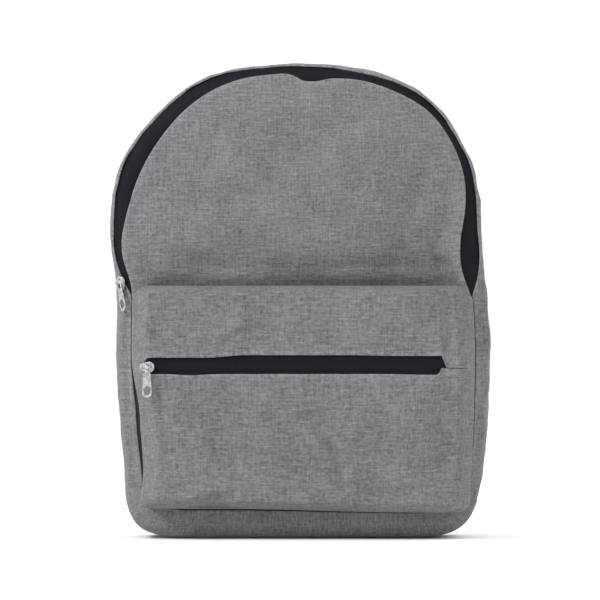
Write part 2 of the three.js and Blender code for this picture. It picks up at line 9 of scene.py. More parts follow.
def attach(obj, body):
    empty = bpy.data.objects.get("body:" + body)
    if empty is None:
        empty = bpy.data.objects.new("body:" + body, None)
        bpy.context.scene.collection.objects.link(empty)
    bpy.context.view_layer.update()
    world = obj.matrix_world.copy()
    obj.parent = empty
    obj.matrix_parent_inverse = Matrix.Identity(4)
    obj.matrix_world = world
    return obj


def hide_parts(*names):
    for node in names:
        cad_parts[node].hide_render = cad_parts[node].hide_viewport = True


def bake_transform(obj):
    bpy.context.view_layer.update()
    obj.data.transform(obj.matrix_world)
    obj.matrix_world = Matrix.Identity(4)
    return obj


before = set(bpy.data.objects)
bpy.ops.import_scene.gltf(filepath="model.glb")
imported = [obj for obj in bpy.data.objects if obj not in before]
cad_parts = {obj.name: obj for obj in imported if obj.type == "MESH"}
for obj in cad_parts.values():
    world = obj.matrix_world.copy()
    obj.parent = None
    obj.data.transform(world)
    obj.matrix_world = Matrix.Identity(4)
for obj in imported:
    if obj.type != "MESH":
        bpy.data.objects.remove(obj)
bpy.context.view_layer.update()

MM = 0.001

SCENE = bpy.context.scene
SIDES = ((1, "right"), (-1, "left"))

# ---- dimensions shared with the frame, mm
HALF_WIDTH, ARCH_CENTRE, ARCH_RISE, ARCH_POWER = 156, 230, 170, 2.62
BASE_RISE, BASE_POWER, BASE_FLAT = 200, 7.3, 1
FRONT, BACK, LEAN, UPRIGHT = -50, 50, 0.06, 39
ZIP_END, FOLD = 200, 228
CROWN_RIM, CROWN_FROM, CROWN_OVER = 3.5, 290, 105
ZIP_S = 6.6                    # the zip's middle, across the section
S_BACK = 103                   # where the gusset meets the back
POCKET_LOW, POCKET_HIGH, POCKET_DEPTH = 25, 212, 26
POCKET_ZIP_Z, POCKET_ZIP_LEFT, POCKET_ZIP_RIGHT = 144, -139, 121

# ---- dimensions of the cloth, mm
CLOTH, TAPE_THICK, ROLL = 1.5, 0.8, 3        # ROLL is the number of rows round a turned edge
LIP = 1.3                      # how far the cloth stands up beside the zip
EDGE_HIGHLIGHT_REACH = 2.5               # how far from an edge the painted highlight reaches
POCKET_HALF, POCKET_SIDE, POCKET_TOP, POCKET_BOTTOM, POCKET_CORNER = 143.2, 14, 6, 9, 14


def smooth(t):
    t = np.clip(t, 0, 1)
    return t * t * (3 - 2 * t)


def hump(t):
    return np.exp(-t ** 2)


def unit(v):
    v = np.asarray(v, float)
    return v / np.maximum(np.linalg.norm(v, axis=-1), 1e-9)[..., None]


def distances(path):
    """Length along a path at each of its points."""
    return np.r_[0, np.cumsum(np.linalg.norm(np.diff(path, axis=0), axis=1))]


def travelled(grid, axis):
    """Length along the rows or columns of a grid of points."""
    first = grid[:1] if axis == 0 else grid[:, :1]
    return np.cumsum(np.linalg.norm(np.diff(grid, axis=axis, prepend=first), axis=2), axis)


# ---- outline of the bag
def make_outline():
    """One loop round the bag, from the bottom centre up the right side and down the left."""
    turn = np.linspace(0, np.pi / 2, 241)
    cosine, sine = np.clip(np.cos(turn), 0, 1), np.clip(np.sin(turn), 0, 1)
    low_z = np.maximum(0, BASE_RISE - (BASE_RISE + BASE_FLAT) * cosine ** (2 / BASE_POWER))
    x = np.r_[HALF_WIDTH * sine ** (2 / BASE_POWER), HALF_WIDTH * cosine ** (2 / ARCH_POWER)]
    z = np.r_[low_z, ARCH_CENTRE + ARCH_RISE * sine ** (2 / ARCH_POWER)]
    keep = np.r_[True, np.hypot(np.diff(x), np.diff(z)) > 1e-3]
    x, z = x[keep], z[keep]
    run = distances(np.stack([x, z], 1))
    return np.r_[run, 2 * run[-1] - run[-2::-1]], np.r_[x, -x[-2::-1]], np.r_[z, z[-2::-1]], run[-1]


LOOP_RUN, LOOP_X, LOOP_Z, HALF_RUN = make_outline()
LOOP = 2 * HALF_RUN


def place(run):
    run = np.mod(run, LOOP)
    return np.interp(run, LOOP_RUN, LOOP_X), np.interp(run, LOOP_RUN, LOOP_Z)


def moved_in(run, inset):
    """Points of the outline moved inwards, in X and Z."""
    (x, z), (x0, z0), (x1, z1) = place(run), place(run - 3), place(run + 3)
    length = np.hypot(x1 - x0, z1 - z0)
    return x - (z1 - z0) / length * inset, z + (x1 - x0) / length * inset


def run_at(z):
    rising = (LOOP_RUN <= HALF_RUN) & (LOOP_RUN > 60)
    return float(np.interp(z, LOOP_Z[rising], LOOP_RUN[rising]))


ZIP_RUN = run_at(ZIP_END)


def leaned(y, z):
    return y + LEAN * z * np.clip((UPRIGHT - y) / (UPRIGHT - FRONT), 0, 1)


# The cross-section from the front panel (s < 0) over the zip's slanting face and the side to the back seam:
# inset from the outline, and depth.
KNEES = np.array([(70, -50), (12, -50), (2.4, -40.4), (0, -34), (0, 36), (1.5, 44), (6, 49.7), (8.6, 51)])


def sample(path, where, values=None):
    """Points of a path, or values given along it, at lengths from its start."""
    values = path if values is None else values
    return np.stack([np.interp(where, distances(path), column) for column in values.T], -1)


def make_section():
    """The cross-section with its knees rounded off, and its directions; s is 0 at the front knee."""
    lengths = distances(KNEES)
    s = np.arange(-lengths[1], lengths[-1] - lengths[1], 0.25)
    points = sample(KNEES, s + lengths[1])
    window = np.ones(21) / 21
    for _ in range(2):
        padded = np.vstack([2 * points[0] - points[10:0:-1], points, 2 * points[-1] - points[-2:-12:-1]])
        points = np.stack([np.convolve(padded[:, k], window, "valid") for k in (0, 1)], 1)
    return s, points, unit(np.gradient(points, axis=0))


SECTION_S, SECTION, SECTION_T = make_section()


def crown_rim(z, share=1):
    """How much further in the cloth beside the zip lies over the top."""
    return CROWN_RIM * share * smooth((z - CROWN_FROM) / CROWN_OVER)


# How far the standing bag's sides lean out from the even outline, by height.
SAG_LEFT = ((5, -3), (45, 6), (100, 4), (150, 2), (205, 1.7), (260, -4.2), (315, -3.8), (375, 1.7),
            (400, 1.5))
SAG_RIGHT = ((5, 3), (35, -0.2), (90, 2.2), (195, 2.3), (245, -2.8), (305, -1.4), (345, -1.8), (400, 1.5))


def curve(at, knots):
    """A smooth curve through a few knots."""
    x, y = np.array(knots, float).T
    slope = np.gradient(y, x)
    k = np.clip(np.searchsorted(x, at, side="right") - 1, 0, len(x) - 2)
    gap = x[k + 1] - x[k]
    t = np.clip((at - x[k]) / gap, 0, 1)
    bend = slope[k] * t * (1 - t) ** 2 - slope[k + 1] * t ** 2 * (1 - t)
    return y[k] + (y[k + 1] - y[k]) * smooth(t) + gap * bend


def settle(points):
    """Moves points of the shell sideways, as the standing bag has settled."""
    points = np.array(points, float)
    x, z = points[..., 0], points[..., 2]
    sag = np.where(x < 0, curve(z, SAG_LEFT), curve(z, SAG_RIGHT))
    points[..., 0] = x + sag * smooth((np.abs(x) - 40) / 90)
    return points


def on_shell(run, s, lift):
    """Points on the bag's surface; lift is the height above it."""
    run, s, lift = np.broadcast_arrays(np.asarray(run, float), s, lift)
    inset = np.interp(s, SECTION_S, SECTION[:, 0]) - lift * np.interp(s, SECTION_S, SECTION_T[:, 1])
    depth = np.interp(s, SECTION_S, SECTION[:, 1]) + lift * np.interp(s, SECTION_S, SECTION_T[:, 0])
    rim = crown_rim(place(run)[1], np.interp(s, [13, 18, 24.5, 90], [1, 0.7, 0.4, 0]))
    x, z = moved_in(run, inset + rim)
    return settle(np.stack([x, leaned(depth, z), z], -1))


# Insets of the two cloths' edges along the main zip, by share of its length from the right end: the panel
# stands well back low on the right and high on the left, and dips once beside the top.
PANEL_INSET = ((0, 14), (0.045, 19.8), (0.08, 19), (0.13, 13.5), (0.2, 9.3), (0.28, 7), (0.35, 9.2),
               (0.43, 9.5), (0.46, 11), (0.48, 13.3), (0.494, 12.8), (0.513, 8), (0.55, 7.5), (0.65, 11.2),
               (0.79, 18), (0.85, 16.2), (0.94, 10), (0.985, 13.8), (1, 13.5))
GUSSET_INSET = ((0, 13), (0.045, 4.3), (0.13, 3), (0.28, 1.2), (0.37, 2), (0.46, 1.7), (0.53, 0.2),
                (0.62, 0.4), (0.8, 2.4), (0.9, 2.3), (0.95, 3), (1, 12.8))


def zip_share(run):
    return (np.mod(run, LOOP) - ZIP_RUN) / (LOOP - 2 * ZIP_RUN)


def along_zip(run, knots, plain, bare=0):
    """s of a cloth's edge: from its insets along the zip, and plain below the zip's ends."""
    share = zip_share(run)
    inset = curve(share, knots)
    s = np.where(inset < 12, (12 - inset) * math.sqrt(2), 12 - inset)
    return np.where((share > 0) & (share < 1), s + bare, plain)


def left_turn(x, z):
    """Where the lower left side wall has turned onto the front, from 0 to 1."""
    return smooth((152 - z) / 50) * smooth((z - 14) / 16) * (x < 0)


def seam_shift(x, z):
    """How far the plain seam of the front panel lies in from the section's knee."""
    return 2.8 * left_turn(x, z) + (12.3 - 2.2 * smooth((x + 60) / 150)) * smooth((24 - z) / 18)


def panel_edge(run):
    at = place(run)
    return along_zip(run, PANEL_INSET, -1.4 - seam_shift(*at) - 2.5 * left_turn(*at))


def gusset_edge(run):
    share = zip_share(run)
    bare = 2.2 * smooth((share - 0.12) / 0.08) * smooth((0.88 - share) / 0.08)
    return along_zip(run, GUSSET_INSET, 1.1 - seam_shift(*place(run)), bare)


def over_zip(run):
    """1 along the zip, 0 along the plain seam below its ends."""
    share = zip_share(run)
    return smooth(share / 0.03) * smooth((1 - share) / 0.03)


# ---- small relief
def ripple(a, b, size, seed):
    """Soft uneven waves, about -1 to 1."""
    rng = np.random.default_rng(seed)
    total = np.zeros(np.broadcast(a, b).shape)
    for octave in range(2):
        wave = size / 2 ** octave
        for _ in range(5):
            angle, phase = rng.uniform(0, 2 * np.pi, 2)
            stretch = rng.uniform(0.75, 1.35)
            k = 2 * np.pi / (wave * stretch)
            across = k * (a * np.cos(angle) + b * np.sin(angle))
            total = total + np.sin(across + phase) / (3 * 1.8 ** octave)
    return total


def crease(x, z, start, end, width, height, ridge):
    """A fold line from start to end; ridge raises the cloth beside it."""
    length = math.dist(start, end)
    ux, uz = ((b - a) / length for a, b in zip(start, end))
    x, z = x - start[0], z - start[1]
    along, off = (x * ux + z * uz) / length, z * ux - x * uz
    fade = smooth(along / 0.25 + 0.5) * smooth((1 - along) / 0.25 + 0.5)
    return fade * (ridge * hump((off - 1.8 * width) / (1.4 * width)) - height * hump(off / width))


# ---- meshes
def add_object(name, data):
    made = bpy.data.objects.new(name, data)
    SCENE.collection.objects.link(made)
    return made


def new_mesh(name, points, faces, materials, body=None):
    mesh = bpy.data.meshes.new(name)
    mesh.from_pydata((np.asarray(points, float) * MM).tolist(), [], [list(map(int, f)) for f in faces])
    for material in materials:
        mesh.materials.append(material)
    mesh.polygons.foreach_set("use_smooth", np.full(len(mesh.polygons), True))
    mesh.update()
    piece = add_object(name, mesh)
    if body:
        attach(piece, body)
    return piece


def dress(piece, weave, edge_highlight=0, materials=(), faces=None):
    """Gives a piece its weave coordinates and its painted edge highlight, and materials by face where it
    has more than one.
    """
    mesh = piece.data
    weave = np.stack(np.broadcast_arrays(*weave), -1)
    edge_highlight = np.broadcast_to(edge_highlight, weave[..., 0].size)
    layers = (("weave", "FLOAT_VECTOR", "vector", weave), ("edge_highlight", "FLOAT", "value", edge_highlight))
    for name, kind, key, values in layers:
        mesh.attributes.new(name, kind, "POINT").data.foreach_set(key, values.astype(np.float32).ravel())
    if materials:
        mesh.materials.clear()
        for material in materials:
            mesh.materials.append(material)
    if faces is not None:
        mesh.polygons.foreach_set("material_index", np.asarray(faces, np.int32))
    mesh.update()


def turn_outward(piece):
    """Makes every face of a closed mesh look outwards."""
    bm = bmesh.new()
    bm.from_mesh(piece.data)
    bmesh.ops.recalc_face_normals(bm, faces=bm.faces)
    bm.to_mesh(piece.data)
    bm.free()
    return piece


def stands_for(piece, nodes):
    if nodes:
        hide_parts(*nodes)
    return piece


def sheet_piece(name, grid, thickness, cloths, weave, nodes, body=None, *, centre, disc=False):
    """A closed cloth of real thickness on a grid of points, with rounded, turned edges. cloths are the
    materials of its two faces; the first looks away from centre. A disc's rows are rings, its rim first."""
    across = np.roll(grid, -1, 1) - np.roll(grid, 1, 1) if disc else np.gradient(grid, axis=1)
    normal = unit(np.cross(np.gradient(grid, axis=0), across))
    if np.sum((grid - np.array(centre, float)) * normal) < 0:
        normal = -normal
    index = np.arange(grid[..., 0].size).reshape(grid.shape[:2])
    count = index.size
    ring = np.hstack([index, index[:, :1]]) if disc else index
    quads = np.stack([ring[:-1, :-1], ring[:-1, 1:], ring[1:, 1:], ring[1:, :-1]], -1).reshape(-1, 4)
    faces = quads.tolist() + (quads[:, ::-1] + count).tolist()
    sides = [0] * len(quads) + [1] * len(quads)
    edge = np.zeros(grid.shape)
    edge[0] += unit(grid[0] - grid[1])
    gap = travelled(grid, 0)
    if disc:
        loop = index[0]
        faces += [list(index[-1][::-1]), list(index[-1] + count)]
        sides += [0, 1]
    else:
        edge[-1] += unit(grid[-1] - grid[-2])
        edge[:, 0] += unit(grid[:, 0] - grid[:, 1])
        edge[:, -1] += unit(grid[:, -1] - grid[:, -2])
        loop = np.r_[index[0], index[1:, -1], index[-1, -2::-1], index[-2:0:-1, 0]]
        sideways = travelled(grid, 1)
        gap = np.minimum.reduce([gap, gap[-1:] - gap, sideways, sideways[:, -1:] - sideways])
    rim, out, down = (a.reshape(-1, 3)[loop] for a in (grid, unit(edge), normal))
    points = [grid.reshape(-1, 3), (grid - normal * thickness).reshape(-1, 3)]
    previous, size = loop, len(loop)
    for step in range(1, ROLL + 2):
        current = loop + count
        if step <= ROLL:
            angle = math.pi * step / (ROLL + 1)
            points.append(rim + (out * math.sin(angle) - down * (1 - math.cos(angle))) * thickness / 2)
            current = 2 * count + (step - 1) * size + np.arange(size)
        faces += np.stack([previous, current, np.roll(current, -1), np.roll(previous, -1)], -1).tolist()
        sides += [0 if step <= ROLL // 2 + 1 else 1] * size
        previous = current
    piece = new_mesh(name, np.vstack(points), faces, cloths, body)
    flat = np.stack(np.broadcast_arrays(*weave), -1).reshape(-1, 3)
    # The painted highlight: full on the rolled edges, fading over the outer face near them, none on the
    # inner face.
    dress(piece, np.vstack([flat, flat] + [flat[loop]] * ROLL).T,
          np.r_[np.exp(-gap.ravel() / EDGE_HIGHLIGHT_REACH), np.zeros(count), np.ones(ROLL * size)], faces=sides)
    turn_outward(piece)
    return stands_for(piece, nodes)


# ---- solids built of rings
def bands(rings, closed=False, caps=True):
    """Equal rings of points joined into a tube; closed joins the last ring to the first."""
    rings = np.asarray(rings, float)
    rows, size = rings.shape[:2]
    index = np.arange(rows * size).reshape(rows, size)
    lower, upper = (index, np.roll(index, -1, 0)) if closed else (index[:-1], index[1:])
    faces = np.stack([lower, np.roll(lower, -1, 1), np.roll(upper, -1, 1), upper], -1)
    faces = faces.reshape(-1, 4).tolist()
    if caps and not closed:
        faces += [index[0].tolist(), index[-1].tolist()]
    return rings.reshape(-1, 3), faces


def merged(parts):
    points, faces, first = [], [], 0
    for some, their in parts:
        points.append(some)
        faces += [[k + first for k in f] for f in their]
        first += len(some)
    return np.vstack(points), faces


def solid(name, shape, material, body, nodes=(), weave=None, edge_highlight=0):
    """A closed piece from points and faces."""
    piece = new_mesh(name, *shape, [material], body)
    if weave is not None:
        dress(piece, weave, edge_highlight)
    turn_outward(piece)
    return stands_for(piece, nodes)


def arc(cx, cy, radius, start, end, steps):
    return [(cx + radius * math.cos(math.radians(a)), cy + radius * math.sin(math.radians(a)))
            for a in np.linspace(start, end, steps)]


def circle(steps, wide=1, high=1):
    """An oval about the origin."""
    angle = np.linspace(0, 2 * np.pi, steps, endpoint=False)
    return np.stack([np.cos(angle) * wide, np.sin(angle) * high], 1)


def section_ring(width, height, radius, per_corner=3):
    """A rounded rectangle about the origin."""
    points = []
    for cx, cy, start in ((1, 1, 0), (-1, 1, 90), (-1, -1, 180), (1, -1, 270)):
        points += arc(cx * (width / 2 - radius), cy * (height / 2 - radius), radius, start, start + 90,
                      per_corner + 1)
    return np.array(points)


def crosswise(path, side, closed=False):
    """Two directions across a path at each of its points: near side, and upright to it."""
    ahead = unit(np.roll(path, -1, 0) - np.roll(path, 1, 0) if closed else np.gradient(path, axis=0))
    up = unit(np.cross(ahead, np.broadcast_to(np.asarray(side, float), path.shape)))
    return unit(np.cross(up, ahead)), up


def set_on(path, first, second, section):
    """The section's points at each point of a path, its two axes along first and second."""
    return path[:, None] + first[:, None] * section[..., :1] + second[:, None] * section[..., 1:]


def sweep(path, side, section, closed=False):
    """A bar of the given section along a path; side is the direction of the section's first axis."""
    path = np.asarray(path, float)
    return bands(set_on(path, *crosswise(path, side, closed), section), closed)


def plate(outline, holes, bottom, top, bevel):
    """A flat plate with holes and rounded edges, lying in XY."""
    rise = ((1.9, 0), (1, 0), (0.3, 0.3), (0, 1))
    levels = [(bevel * i, top - bevel * d) for i, d in rise]
    levels += [(bevel * i, bottom + bevel * d) for i, d in rise[::-1]]
    parts, ends, first = [], {0: ([], []), len(levels) - 1: ([], [])}, 0
    for number, ring in enumerate([outline] + list(holes)):
        ring = np.array(ring, float)
        following = np.roll(ring, -1, 0)
        if np.sum(ring[:, 0] * following[:, 1] - following[:, 0] * ring[:, 1]) < 0:
            ring = ring[::-1]
        along = unit(np.roll(ring, -1, 0) - np.roll(ring, 1, 0))
        inwards = np.stack([-along[:, 1], along[:, 0]], 1) * (1 if number == 0 else -1)
        rings = [np.c_[ring + inwards * inset, np.full(len(ring), z)] for inset, z in levels]
        for level, (loops, numbers) in ends.items():
            loops.append([Vector(p) for p in rings[level]])
            numbers += range(first + level * len(ring), first + (level + 1) * len(ring))
        parts.append(bands(rings, caps=False))
        first += len(levels) * len(ring)
    points, faces = merged(parts)
    for loops, numbers in ends.values():
        faces += [[numbers[k] for k in triangle] for triangle in tessellate_polygon(loops)]
    return points, faces


def in_place(shape, matrix):
    points, faces = shape
    return points @ matrix[:3, :3].T + matrix[:3, 3], faces


def basis(x, y, z, at):
    matrix = np.eye(4)
    matrix[:3, 0], matrix[:3, 1], matrix[:3, 2], matrix[:3, 3] = x, y, z, at
    return matrix


# ---- materials
class Graph:
    """A material's node tree with short helpers."""

    def __init__(self, name, metallic=0, sheen=0, specular=0.4):
        self.material = bpy.data.materials.new(name)
        self.material.use_nodes = True
        self.tree = self.material.node_tree
        self.shader = self.tree.nodes["Principled BSDF"]
        self.put(self.shader, {"Metallic": metallic, "Sheen Weight": sheen, "Sheen Roughness": 0.45,
                               "Specular IOR Level": specular})

    def put(self, node, inputs):
        """Sets a node's inputs to numbers, or links them to other nodes' outputs."""
        for key, value in inputs.items():
            if isinstance(value, bpy.types.NodeSocket):
                self.tree.links.new(value, node.inputs[key])
            else:
                node.inputs[key].default_value = value

    def node(self, kind, inputs, output=0, **settings):
        """Adds a node and returns one of its outputs."""
        made = self.tree.nodes.new("ShaderNode" + kind)
        for key, value in settings.items():
            setattr(made, key, value)
        self.put(made, inputs)
        return made.outputs[output]

    def weave(self):
        """The cloth's own coordinates in mm: the vector, then each of its first two parts."""
        vector = self.node("Attribute", {}, "Vector", attribute_name="weave")
        first = self.node("SeparateXYZ", {0: vector})
        return vector, first, first.node.outputs[1]

    # The painted highlight along turned edges, read from the mesh's attribute.
    def edge_highlight(self):
        return self.node("Attribute", {}, "Fac", attribute_name="edge_highlight")

    def position(self):
        return self.node("TexCoord", {}, "Object")

    def noise(self, vector, scale, detail=2, rough=0.6, move=(0, 0, 0)):
        scale = scale if np.ndim(scale) else (scale,) * 3
        mapped = self.node("Mapping", {"Vector": vector, "Scale": scale, "Location": move})
        inputs = {"Vector": mapped, "Scale": 1, "Detail": detail, "Roughness": rough}
        return self.node("TexNoise", inputs, "Fac")

    def math(self, operation, *values):
        return self.node("Math", dict(enumerate(values)), operation=operation)

    def times(self, a, b):
        return self.math("MULTIPLY", a, b)

    def total(self, start, *terms):
        """start plus each value times its weight."""
        for value, weight in terms:
            start = self.math("MULTIPLY_ADD", value, weight, start)
        return start

    def wave(self, value, pitch):
        """A sine along a coordinate, from -1 to 1."""
        return self.math("SINE", self.times(value, 2 * math.pi / pitch))

    def span(self, value, low, high, to_low=0, to_high=1):
        return self.node("MapRange", dict(enumerate((value, low, high, to_low, to_high))))

    def finish(self, tone, dark, light, roughness, height, depth, strength=0.8):
        """Colour from dark to light by tone, roughness, and a bump depth mm deep."""
        mixed = self.node("Mix", {0: tone, 6: grey(dark), 7: grey(light)}, 2, data_type="RGBA",
                          clamp_factor=True)
        bump = self.node("Bump", {"Strength": strength, "Distance": depth * MM, "Height": height})
        self.put(self.shader, {"Base Color": mixed, "Roughness": roughness, "Normal": bump})
        return self.material


def grey(levels):
    """A colour from its red, green and blue in thousandths, or from one of them for all three."""
    return *(np.broadcast_to(levels, 3) / 1000), 1


YARN, RIPSTOP_CELL, MESH_CELL = 0.62, 5, 3.2       # mm


def heather(name, dark, light, contrast=1):
    """Melange plain weave: mottled yarns, thick and thin slubs lying across, fine lines running down."""
    g = Graph(name, sheen=0.12, specular=0.25)
    weave, u, v = g.weave()
    fleck = g.noise(weave, (0.33, 0.42, 0.33), 3, 0.62)
    slub = g.noise(weave, (0.055, 0.8, 0.3), move=(7, 3, 0))
    line = g.noise(weave, (0.85, 0.045, 0.3), move=(3, 11, 0))
    # cloud: large soft blotches of painted shade, for the uneven shading over the cloth's wrinkles.
    cloud = g.noise(weave, (0.02, 0.025, 0.02), 1, 0.5)
    cross = g.times(g.wave(u, 2 * YARN), g.wave(v, 2 * YARN))
    # Turned edges are painted lighter in specks: a painted highlight.
    tone = g.total(0.325 - 1.75 * contrast, (fleck, 1.5 * contrast), (slub, contrast), (line, contrast),
                   (cloud, 0.35), (g.span(slub, 0.58, 0.78), 0.3 * contrast), (cross, 0.12),
                   (g.edge_highlight(), g.span(fleck, 0.3, 0.7, 0.1, 0.35)))
    height = g.total(0, (cross, 0.5), (slub, 1.3), (fleck, 0.8))
    return g.finish(tone, dark, light, g.span(fleck, 0.2, 0.8, 0.96, 0.82), height, 0.32, 0.7)


def ripstop(name, dark, light):
    """Thin lining with a square grid of heavier threads."""
    g = Graph(name, sheen=0.1)
    weave, u, v = g.weave()
    thread = g.span(g.math("MAXIMUM", g.wave(u, RIPSTOP_CELL), g.wave(v, RIPSTOP_CELL)), 0.93, 1)
    cloud = g.noise(weave, 0.05, 3, 0.55)
    height = g.total(0, (g.times(g.wave(u, 0.5), g.wave(v, 0.5)), 0.15), (thread, 0.8), (cloud, 1.5))
    tone = g.total(0, (cloud, 0.6), (thread, 0.35))
    return g.finish(tone, dark, light, g.span(cloud, 0.3, 0.7, 0.5, 0.7), height, 0.25, 0.6)


def ribbed(name, dark, light, rib, depth, cross=1.6, sheen=0.1, roughness=(0.6, 0.8)):
    """Woven tape or webbing: ribs along it (u) broken by slanting picks across it (v)."""
    g = Graph(name, sheen=sheen, specular=0.2)
    weave, u, v = g.weave()
    slant = g.total(u, (g.math("ABSOLUTE", g.wave(v, rib * 8)), rib))
    pattern = g.total(0, (g.wave(slant, cross), 0.45), (g.wave(v, rib), 0.45))
    fuzz = g.noise(weave, (0.5, 0.9, 0.5), 3)
    # The edges are painted lighter: a painted highlight.
    tone = g.total(-0.1, (fuzz, 0.9), (pattern, 0.25), (g.edge_highlight(), 0.2))
    height = g.total(pattern, (fuzz, 0.5))
    return g.finish(tone, dark, light, g.span(fuzz, 0.3, 0.7, *roughness), height, depth)


def air_mesh(name, dark, light):
    """Spacer mesh: rows of staggered oval holes in a soft knit."""
    g = Graph(name, sheen=0.3, specular=0.2)
    weave, u, v = g.weave()
    along = g.times(u, 1 / MESH_CELL)
    rows = [g.wave(g.total(along, (v, way / MESH_CELL)), 1) for way in (0.5, -0.5)]
    hole = g.span(g.times(*rows), 0.05, 0.6)
    knit = g.noise(weave, 1.6, 2, 0.7)
    return g.finish(g.total(0.45, (hole, -0.75), (knit, 0.8)), dark, light, 0.95,
                    g.total(0, (hole, -1), (knit, 0.35)), 0.9, 0.9)


def brushed(name, dark, light):
    """Nickel-plated zinc: fine casting grain and soft scuffs."""
    g = Graph(name, metallic=1)
    where = g.position()
    scuff = g.noise(where, (700, 500, 700), 4, 0.65)
    patch = g.span(g.noise(where, 420, 2, 0.5), 0.35, 0.65)
    tone = g.total(0.12, (scuff, 0.5), (patch, 0.45))
    height = g.total(scuff, (g.noise(where, 4200), 0.5))
    return g.finish(tone, dark, light, g.span(scuff, 0.3, 0.7, 0.2, 0.42), height, 0.03, 0.5)


def grained(name, dark, light, mottle, grain, roughness, depth, specular=0.5):
    """A mottled surface over a fine grain, both in cycles per metre."""
    g = Graph(name, specular=specular)
    rub, fine = (g.noise(g.position(), size, 3) for size in (mottle, grain))
    return g.finish(rub, dark, light, g.span(rub, 0.3, 0.7, *roughness), fine, depth, 0.6)


SHELL = heather("shell_heather", (66, 66.5, 69.5), (216, 217, 225), 0.92)
STRAPPING = heather("strap_heather", (45, 46, 50), (130, 132, 142))
LINING = ripstop("lining_ripstop", (45, 46, 52), (105, 107, 118))
TAPE = ribbed("zip_tape_navy", (2.1, 2.4, 3.7), (7.5, 8, 13.7), 0.55, 0.12, 0.7, 0, (0.8, 0.95))
WEBBING = ribbed("webbing_charcoal", (27.3, 28.4, 33.1), (122.1, 127.4, 150), 1.7, 0.4, 1.25)
BINDING = ribbed("binding_charcoal", (16, 16.8, 21.2), (51.3, 54.5, 64.8), 0.7, 0.2)
AIR_MESH = air_mesh("air_mesh", (2, 2, 2.5), (75, 77, 86))
NICKEL = brushed("nickel_satin", (100, 100, 105), 660)
ACETAL = grained("acetal_black", (8, 8, 9), (20, 20, 23), 220, 2600, (0.4, 0.62), 0.06)
COIL = grained("coil_nylon", (7, 8, 11), (19.4, 21.2, 29.6), 900, 900, (0.3, 0.5), 0.05)
FOAM = grained("foam_grey", (18, 18, 20), (55, 55, 60), 60, 900, (0.95, 1), 0.3)
THREAD = grained("thread_charcoal", (22, 23, 26), (75, 77, 85), 2600, 2600, (0.5, 0.75), 0.06)
FLOOR = grained("floor_pale", (900, 900, 905), 930, 2, 40, (0.84, 0.86), 0, 0.1)


# ---- the front panel with its flap
ARCH_INSET = 13.2              # of the flap's bulging part from the outline
FLAP_TOP, FLAP_LOW, FLAP_BULGE = 382.8, 209.5, 9
# Folds of the flap and the pocket: start, end, width, depth, and the height of the ridge beside each.
FLAP_CREASES = (
    ((1, 384), (3, 356), 4, 1.6, 0.7), ((-64, 330), (-96, 262), 11, 1.8, 1.2),
    ((110, 318), (84, 240), 12, 1.8, 1.2), ((112, 246), (120, 228), 3.2, 2.2, 1.4),
    ((119, 231), (124, 213), 3, 1.8, 1), ((114, 236), (128, 230), 3, 1.8, 1.2),
    ((40, 280), (70, 250), 9, 1.4, 1), ((-30, 300), (20, 268), 14, 1.4, 1.2),
    ((-110, 240), (-60, 226), 6, 1.4, 1), ((-128, 292), (-118, 352), 5, 0.7, 0.6))
POCKET_CREASES = (
    ((-68, 160), (-40, 178), 4, 1.8, 1.4), ((1, 106), (32, 70), 3.4, 2.4, 1.8),
    ((24, 84), (40, 46), 4.5, 1.8, 1.2), ((-12, 122), (6, 98), 7, 1.6, 1),
    ((108, 124), (124, 60), 8, 2.8, 2), ((126, 176), (118, 154), 3.2, 1.6, 1),
    ((112, 141), (138, 143.5), 1.5, 1.2, 0.8), ((-100, 27), (-58, 36), 3.6, 2.8, 2.4),
    ((-122, 120), (-112, 66), 7, 1.4, 1), ((60, 198), (88, 170), 8, 1.6, 1.2),
    ((-104, 204), (-84, 180), 6, 1.5, 1.2), ((40, 40), (92, 36), 6, 1.5, 1.4),
    ((-50, 66), (20, 54), 10, 1.3, 1), ((-20, 200), (6, 176), 9, 1.2, 0.8))


def flap_relief(x, z):
    """Dents and folds of the flap, outwards positive; it sinks above the pocket and low on the right."""
    relief = 1.5 * ripple(x, z, 95, 11) + 0.5 * ripple(x, z, 34, 12)
    relief = relief - 5.3 * hump((z - FLAP_LOW) / 9.5) * smooth((140 - np.abs(x)) / 30)
    relief = relief - 9 * smooth((0.8 * x - 0.6 * (z - 300) - 36) / 105) ** 2
    return (relief + sum(crease(x, z, *fold) for fold in FLAP_CREASES)) * smooth((z - 190) / 14)


def front_shell():
    rising = np.linspace(80, HALF_RUN, 400)
    arch_x, arch_z = moved_in(rising, ARCH_INSET + crown_rim(place(rising)[1]))
    around = 440
    run = np.arange(around) * LOOP / around
    rows = []
    for d in (0, 0.9, 2, 3.4, 5.2, 7.5, 10.5, 14):
        rows.append(on_shell(run, panel_edge(run) - d, LIP * over_zip(run) * (1 - smooth(d / 13))))
    rim, centre = rows[-1], np.array([0, 0, 205])
    for g in np.linspace(1, 0.006, 62)[1:]:
        ring = centre + (rim - centre) * g
        ring[:, 1] = leaned(FRONT, ring[:, 2])
        rows.append(ring)
    grid = np.stack(rows)
    x, z = grid[..., 0].copy(), grid[..., 2].copy()
    inwards = travelled(grid, 0)
    across = np.clip(np.abs(x) / np.maximum(np.interp(z, arch_z, arch_x), 1), 0, 1)
    up = np.clip((z - FOLD) / (FLAP_TOP - FOLD), 0, 1)
    bulge = FLAP_BULGE * (1 - across ** 4) * (1 - (2 * up - 1) ** 4)
    grid[..., 1] -= bulge * smooth(inwards / 7) + flap_relief(x, z) * smooth((inwards - 1.5) / 16)
    return sheet_piece("front_shell", grid, CLOTH, (SHELL, LINING), (x, z, 0),
                       ["front_panel_lower", "front_flap"], disc=True, centre=(0, 60, 200))


def fold_with_flap(piece):
    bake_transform(piece)


